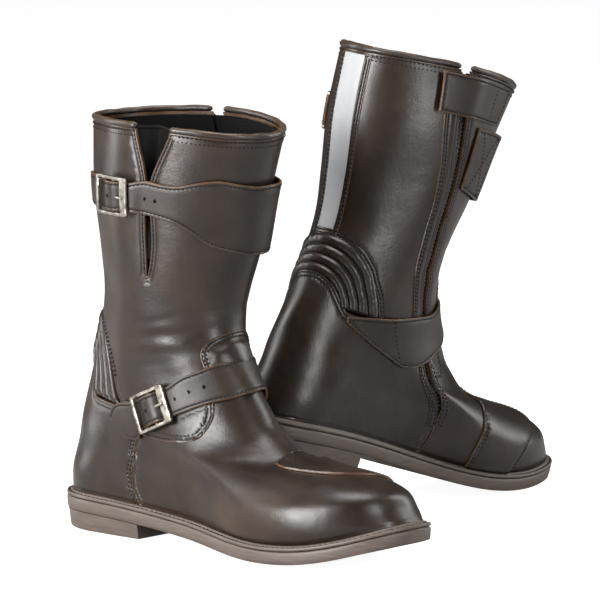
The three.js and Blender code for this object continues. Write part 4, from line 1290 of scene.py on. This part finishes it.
def plate(outer, holes_in, z_low, z_high, round_by, place, crown=0.0):
    """Flat metal plate with rounded edges in a seat's axes."""
    loops = [outer, *holes_in]
    lo, hi = outer.min(0), outer.max(0)
    points = []
    for loop in loops:
        centre = loop.mean(0)
        for d in (round_by * 0.35, round_by):
            size = (loop.max(0) - loop.min(0)) / 2
            shrink = 1 - d / size if loop is outer else 1 + d / size
            points.append(centre + (loop - centre) * shrink)
    gx, gy = np.meshgrid(np.arange(lo[0] + 1, hi[0], 1.3), np.arange(lo[1] + 1, hi[1], 1.3))
    grid = np.stack([gx.ravel(), gy.ravel()], -1)
    edge = tree_of(np.hstack([np.vstack(loops), np.zeros((sum(map(len, loops)), 1))]))
    grid = grid[distances(np.hstack([grid, np.zeros((len(grid), 1))]), edge) > round_by + 0.5]
    points = np.vstack([*points, grid])
    points = points[inside(points, loops)]

    def put(uv):
        flat = np.hstack([uv, np.zeros((len(uv), 1))])
        return flat @ place[:3, :3].T + place[:3, 3], np.tile(place[:3, 2], (len(uv), 1))

    def span(uv, d):
        rise = crown * (1 - (uv[:, 1] / hi[1]) ** 2)
        return z_low + rounding(d, round_by * 0.6) + rise, z_high - rounding(d, round_by) + rise

    verts, faces, marks = shell(loops, points, put, span)
    marks["edge"][:] = 0
    return verts, faces, marks


def buckles():
    for name, place in (("ankle", ANKLE_PLACE), ("calf", CALF_PLACE)):
        outer = rounded_rect((-FRAME_X, -FRAME_Y), (FRAME_X, FRAME_Y), 1.8)
        window = rounded_rect((-FRAME_X + 2.7, -FRAME_Y + 2.5), (8.9, FRAME_Y - 2.5), 0.9)[::-1]
        frame_shape = plate(outer, [window], 4.3, 6.7, 0.75, place, crown=0.5)
        bar = moved(tube([(0, -FRAME_Y + 1, BAR_Z), (0, 0, BAR_Z), (0, FRAME_Y - 1, BAR_Z)], 1.1, 16), place)
        lugs = [moved(soft_box((-1.9, y - 1.3, 2.9), (1.9, y + 1.3, 6.0), 0.5), place) for y in (-12.3, 12.3)]
        shape = joined(frame_shape, bar, *lugs)
        add(f"{name}_buckle_frame", shape, NICKEL, replaces=[f"{name}_buckle"], sharp=35)
        turn = np.radians(np.linspace(-150, 60, 18))
        eye = np.stack([2.0 * np.cos(turn), 0 * turn, BAR_Z + 2.0 * np.sin(turn)], -1)
        pin = curve([
            (1.0, 0, 5.73), (4.2, 0, 6.3), (7.2, 0, 7.35), (9.5, 0, 7.9), (11.6, 0, 7.95), (12.6, 0, 7.8),
        ], 5)
        path = np.vstack([eye[:-1], pin])
        radius = np.concatenate([np.full(len(path) - 4, 1.05), [1.0, 0.9, 0.7, 0.3]])
        prong = moved(tube(path, radius, 12, up=(0, 1, 0)), place)
        add(f"{name}_buckle_pin", prong, NICKEL, body=f"{name}_prong", replaces=[f"{name}_prong"])
        keep = [moved(soft_box((-11, -7.6, 0.9), (4.5, 7.6, 1.7), 0.35), place)]
        for y in (-5.2, 5.2):
            turn = np.radians(np.linspace(-80, 260, 24))
            ring = np.stack([2.15 * np.cos(turn), 0 * turn + y, BAR_Z - 0.2 + 2.3 * np.sin(turn)], -1)
            keep.append(moved(tube(ring, 0.75, 8, up=(0, 1, 0), flat=3.2), place))
        add(f"{name}_keeper", joined(*keep), TRIM, replaces=[f"{name}_chape"])


# ---- zip and tab ----


def zip_seat():
    """Axes on the zip's head: Y up along it and Z straight out."""
    level = 11.6
    foot, head = skin(zip_line(level - 1.2), level - 1.2), skin(zip_line(level), level)
    up = unit(head - foot)
    out = normal(zip_line(level), level)
    out = unit(out - up * (out @ up))
    return axes_at(np.cross(up, out), up, out, head)


def zip_parts():
    """Zip tape, its closed row of teeth, the slider and the pull."""
    tape = outline(
        by_level(lambda l: zip_line(l) - 6.5 / per_degree_at(zip_line(l), l), 11.9, 2.6),
        by_angle(2.6, zip_line(2.6) - 2, zip_line(2.6) + 2, 6),
        by_level(lambda l: zip_line(l) + 6.5 / per_degree_at(zip_line(l), l), 2.6, 11.9),
        by_angle(11.9, zip_line(11.9) + 4, zip_line(11.9) - 4, 6),
    )
    tape_shape = patch(tape, (-3.2, -2.5), spacing=2.2, round_by=0.3)
    path = resample(by_level(zip_line, 3.0, 11.75, 300), 1.45)
    points, out = on_boot(path[:, 0], path[:, 1], -2.0), normal(path[:, 0], path[:, 1])
    along = unit(np.gradient(points, axis=0))
    teeth = []
    for i, (p, n, t) in enumerate(zip(points, out, along)):
        place = axes_at(np.cross(t, n), t, n, p)
        shift = 0.8 if i % 2 else -0.8
        teeth.append(moved(soft_box((shift - 1.9, -0.62, -0.6), (shift + 1.9, 0.62, 0.7), 0.3, 1), place))
    add("zip_tape", tape_shape, TAPE_AND_HOLE_SHADE, replaces=["zip_coil"])
    add("zip_teeth", joined(*teeth), PLASTIC)
    place = zip_seat()
    body = [
        soft_box((-3.6, -5.8, 0.7), (3.6, 5.9, 2.6), 0.8, 3),
        soft_box((-0.8, -3.0, 3.9), (0.8, 3.0, 4.8), 0.35),
        soft_box((-0.8, -3.0, 1.8), (0.8, -1.9, 4.6), 0.35),
        soft_box((-0.8, 1.9, 1.8), (0.8, 3.0, 4.6), 0.35),
    ]
    slider = moved(joined(*body), place)
    add("zip_slider_body", slider, NICKEL, body="zip_slider", replaces=["zip_slider"])
    outer = rounded_rect((-3.0, -13.0), (3.0, 0.6), 1.4)
    holes_in = [
        rounded_rect((-1.9, -5.4), (1.9, -0.5), 0.5)[::-1], rounded_rect((-1.2, -11.6), (1.2, -7.2), 0.9)[::-1],
    ]
    lifted = place.copy()
    lifted[:3, 3] = lifted[:3, 3] + place[:3, 2] * 3.4
    pull = plate_at(outer, holes_in, lifted)
    add("zip_pull_tab", pull, NICKEL, body="zip_pull", replaces=["zip_pull"])


def plate_at(outer, holes_in, place):
    """Small plate centred on the place's own height."""
    shift = place.copy()
    centre = (outer.max(0) + outer.min(0)) / 2
    shift[:3, 3] = place[:3, 3] + place[:3, 0] * centre[0] + place[:3, 1] * centre[1]
    return plate(outer - centre, [h - centre for h in holes_in], -0.5, 0.5, 0.3, shift)


def tab():
    """Closure tab over the head of the zip, its rear end lifting off the boot."""
    lift = lambda angle, level: 5.4 * ease(((angle - 240) / 61 - 0.25) / 0.45)
    path = outline(
        by_angle(11.88, 240, 301), np.array([(301, 11.88), (297.5, 11.27)]), by_angle(11.27, 297.5, 262),
        curve([(262, 11.27), (256, 11.26), (240, 11.26)]), np.array([(240, 11.26), (240, 11.88)]), step=1.2,
    )
    shape = patch(path, (0.75, 2.75), spacing=1.8, grooves=(1.9,), lift=lift, round_by=0.9)
    add("closure_tab_leather", shape, STRAP_HIDE, body="closure_tab", replaces=["closure_tab"])
    pad_path = outline(
        by_angle(11.8, 286, 297.5), np.array([(297.5, 11.8), (295.5, 11.35)]), by_angle(11.35, 295.5, 286),
        np.array([(286, 11.35), (286, 11.8)]), step=1.2,
    )
    velcro = patch(pad_path, (-0.9, 0.6), spacing=1.6, lift=lift, round_by=0.3)
    add("closure_tab_hooks", velcro, TAPE_AND_HOLE_SHADE, body="closure_tab")
    line = inset(path, 1.9)
    keep = np.vstack([line, line[:1]])
    dense = resample(keep, 0.6)
    points = on_boot(dense[:, 0], dense[:, 1], 2.62 + lift(dense[:, 0], dense[:, 1]))
    stitch(None, body="closure_tab", place=(points, normal(dense[:, 0], dense[:, 1])))
    across = resample(np.array([(257.0, 11.8), (256.0, 11.33)]), 0.6)
    points = on_boot(across[:, 0], across[:, 1], 2.62 + lift(across[:, 0], across[:, 1]))
    stitch(None, body="closure_tab", place=(points, normal(across[:, 0], across[:, 1])))


# ---- sole ----

SOLE_OVERHANG = 4.6


def sole_angles(last=180.0, n=110):
    """Angles from the back seam to last, evenly spaced along the sole edge."""
    fine = np.linspace(0, last, 1400)
    steps = np.linalg.norm(np.diff(skin(fine, 0.0), axis=0), axis=1)
    s = np.concatenate([[0], np.cumsum(steps)])
    return np.interp(np.linspace(0, s[-1], n + 1), s, fine)


def sole_edge(angle, overhang, rise):
    """Sole edge moved outwards in plan and raised."""
    angle = np.asarray(angle, float)
    around = skin(angle + 0.5, 0.0) - skin(angle - 0.5, 0.0)
    out = unit(np.stack([around[..., 1], -around[..., 0], 0 * around[..., 0]], -1))
    edge = skin(angle, 0.0) + out * np.asarray(overhang)[..., None]
    edge[..., 2] += rise
    return edge


def sole_body(profile, last=180.0, n=110, bottom_z=None):
    """Solid under the sole edge. profile is (overhang, rise) from its underside up to its top; a heel ends at
    the angle last on both sides, with a flat front."""
    half = sole_angles(last, n)
    closed = last >= 180
    angles = np.concatenate([half, 360 - half[-2:0:-1] if closed else 360 - half[:0:-1]])
    count, rows = len(angles), len(profile)
    verts = np.stack([sole_edge(angles, o, r) for o, r in profile], 1)
    if bottom_z is not None:
        keep = np.linspace(0, 1, rows)[None] if bottom_z[1] is None else np.array(bottom_z[1])[None]
        verts[..., 2] = mix(bottom_z[0], verts[..., 2], keep)
    verts = verts.reshape(-1, 3)
    at = lambda k, r: (k % count) * rows + r
    faces = []
    for k in range(count):
        if not closed and k == n:
            continue
        for r in range(rows - 1):
            faces.append((at(k, r), at(k + 1, r), at(k + 1, r + 1), at(k, r + 1)))
    partner = lambda k: (count - k) % count
    stop = n if closed else n
    for k in range(0, stop):
        for r, flip in ((0, True), (rows - 1, False)):
            corners = [at(k, r), at(k + 1, r), at(partner(k + 1), r), at(partner(k), r)]
            quad = list(dict.fromkeys(corners))
            if len(quad) > 2:
                faces.append(tuple(quad[::-1] if flip else quad))
    if not closed:
        for r in range(rows - 1):
            faces.append((at(n, r), at(partner(n), r), at(partner(n), r + 1), at(n, r + 1)))
    return verts, oriented(verts, faces), {}


def oriented(verts, faces):
    """The same faces, turned to point outwards."""
    volume = 0.0
    for f in faces:
        for k in range(1, len(f) - 1):
            volume += float(np.dot(verts[f[0]], np.cross(verts[f[k]], verts[f[k + 1]])))
    return faces if volume > 0 else [f[::-1] for f in faces]


def sole():
    o = SOLE_OVERHANG
    profile = [
        (o - 3.0, -12.5), (o - 0.9, -12.4), (o - 0.4, -11.9), (o - 0.1, -9.0), (o + 0.05, -6.5), (o, -4.6),
        (o - 0.35, -3.9), (o - 1.4, -3.7),
    ]
    add("outsole_rubber", sole_body(profile), SOLE, replaces=["outsole"], sharp=60)
    last = float(np.interp(44, skin(np.linspace(5, 175, 400), 0.0)[:, 0], np.linspace(5, 175, 400)))
    heel = [(o - 4.4, 0), (o - 2.9, 0), (o - 2.4, 0), (o - 1.7, 0), (o - 1.0, -12.8), (o - 0.9, -12.8)]
    shape = sole_body(heel, last, 60, (0.0, [0, 0, 0.04, 0.3, 1.0, 1.0]))
    add("heel_stack", shape, SOLE, replaces=["heel_block"], sharp=50)
    ring = [
        (-5.0, -3.3), (o - 1.0, -3.3), (o - 0.1, -3.0), (o + 0.15, -2.2), (o, -1.2), (o - 0.4, -0.75),
        (o - 1.0, -0.75), (o - 1.35, -1.35), (o - 2.1, -1.35), (o - 2.4, -0.5), (o - 3.0, 0.15),
        (o - 3.7, 0.35), (o - 4.5, 0.1), (-5.0, -0.3),
    ]
    half = sole_angles(180, 150)
    angles = np.concatenate([half, 360 - half[-2:0:-1]])
    grid = np.stack([sole_edge(angles, a, b) for a, b in ring], 1)
    count, rows = grid.shape[:2]
    verts = grid.reshape(-1, 3)
    faces = []
    for k in range(count):
        for r in range(rows):
            m, q = (k + 1) % count, (r + 1) % rows
            faces.append((k * rows + r, m * rows + r, m * rows + q, k * rows + q))
    add("welt_strip", (verts, oriented(verts, faces), {}), SOLE, replaces=["welt"], sharp=70)
    path = sole_edge(np.concatenate([angles, angles[:1]]), o - 1.72, -1.1)
    up = np.tile([0.0, 0, 1], (len(path), 1))
    stitch(None, body="welt", place=(path, up), pitch=4.2, length=3.1, radius=0.6)


def footbed():
    """Cushioned footbed with a raised edge."""
    half = sole_angles(162, 60)[1:]
    w = np.linspace(-1, 1, 25)
    back = 8.4 + 9 * ease((half - 128) / 40)
    out, inn = sole_edge(half, -back, 0.0), sole_edge(360 - half, -back, 0.0)
    mid = (out + inn) / 2
    reach = (inn - out) / 2
    top = mid[:, None] + reach[:, None] * w[None, :, None]
    bottom = top.copy()
    rise = 6.0 + 0.8 * np.abs(w) ** 3 - 0.9 * np.clip(np.abs(w) - 0.94, 0, 1) / 0.06
    top[..., 2] += rise[None]
    bottom[..., 2] += 2.7
    verts, faces, marks = block(top, bottom)
    shape = (verts, oriented(verts, faces), marks)
    for ob in add("footbed_cushion", shape, FOAM, replaces=["footbed"]):
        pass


def carried_over():
    """CAD nodes that keep their shape: inner parts that only need their material."""
    for side in SIDES:
        for node, material in (("insole_board", BOARD), ("shank", STEEL), ("heel_counter", BOARD)):
            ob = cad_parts[f"{side}_{node}"]
            ob.data.materials.clear()
            ob.data.materials.append(material)


# ---- stage ----


def camera():
    """Camera at the height and turn of a product photograph, far off with a long lens."""
    target = Vector((1.129, -1.0686, 0.3835))
    look = Vector((-0.6634, 0.7342, -0.1444)).normalized()
    data = bpy.data.cameras.new("camera")
    data.lens, data.sensor_width = 368.2, 36
    data.clip_start, data.clip_end = 0.1, 60
    ob = bpy.data.objects.new("camera", data)
    bpy.context.scene.collection.objects.link(ob)
    ob.location = target - look * 2.6556
    ob.rotation_mode = "QUATERNION"
    ob.rotation_quaternion = look.to_track_quat("-Z", "Y")
    bpy.context.scene.camera = ob


def softbox(name, place, aim, size, power, color=(1, 1, 1)):
    data = bpy.data.lights.new(name, "AREA")
    data.shape, data.size, data.size_y = "RECTANGLE", size[0], size[1]
    data.energy, data.color = power, color
    ob = bpy.data.objects.new(name, data)
    ob.location = place
    ob.rotation_mode = "QUATERNION"
    ob.rotation_quaternion = (Vector(aim) - Vector(place)).to_track_quat("-Z", "Y")
    bpy.context.scene.collection.objects.link(ob)


def studio():
    lo, hi = CAD_BOX
    centre = (lo + hi) / 2
    mesh = bpy.data.meshes.new("studio_floor")
    size = 8.0
    corners = [(-size, -size, 0), (size, -size, 0), (size, size, 0), (-size, size, 0)]
    mesh.from_pydata(corners, [], [(0, 1, 2, 3)])
    floor = bpy.data.objects.new("studio_floor", mesh)
    bpy.context.scene.collection.objects.link(floor)
    n = Nodes("studio_paper")
    color = n.blend(n.noise(3, 2), rgb(0.4, 0.4, 0.4), rgb(0.44, 0.44, 0.44))
    seen = n.node("ShaderNodeLightPath").outputs["Is Camera Ray"]
    glow = n.math("MULTIPLY", seen, 0.93)
    n.finish(Base_Color=color, Roughness=0.9, Emission_Color=rgb(1, 1, 1), Emission_Strength=glow)
    mesh.materials.append(n.material)
    floor.location.z = -0.0006
    world = bpy.data.worlds.new("studio")
    world.use_nodes = True
    world.node_tree.nodes["Background"].inputs["Color"].default_value = (1, 1, 1, 1)
    world.node_tree.nodes["Background"].inputs["Strength"].default_value = 0.07
    bpy.context.scene.world = world
    side = Vector((0.742, 0.670, 0))
    near = Vector((0.670, -0.742, 0))
    up = Vector((0, 0, 1))
    softbox("key", centre + near * 0.95 - side * 1.05 + up * 0.3, centre, (0.5, 1.1), 46)
    softbox("fill", centre + near * 1.2 + side * 0.85 + up * 0.35, centre, (0.26, 1.0), 13)
    softbox("rim_right", centre - near * 0.5 + side * 1.3 + up * 0.5, centre, (0.4, 1.4), 13)
    softbox("rim_left", centre - near * 0.4 - side * 1.4 + up * 0.5, centre, (0.5, 1.4), 16)
    softbox("top", centre + up * 1.6 + near * 0.1, centre, (1.0, 0.8), 22)
    bpy.context.scene.view_settings.view_transform = "Standard"


camera()
studio()
panels()
facings()
overlays()
guard()
flex_panel()
instep_pad()
back_strip()
inside_parts()
collar()
straps()
buckles()
zip_parts()
tab()
sole()
footbed()
carried_over()
add("stitching", thread_shape(THREAD["boot"]), DARK_THREAD)
add("closure_tab_stitching", thread_shape(THREAD["closure_tab"]), DARK_THREAD, body="closure_tab")
add("welt_stitching", thread_shape(THREAD["welt"]), WELT_THREAD)
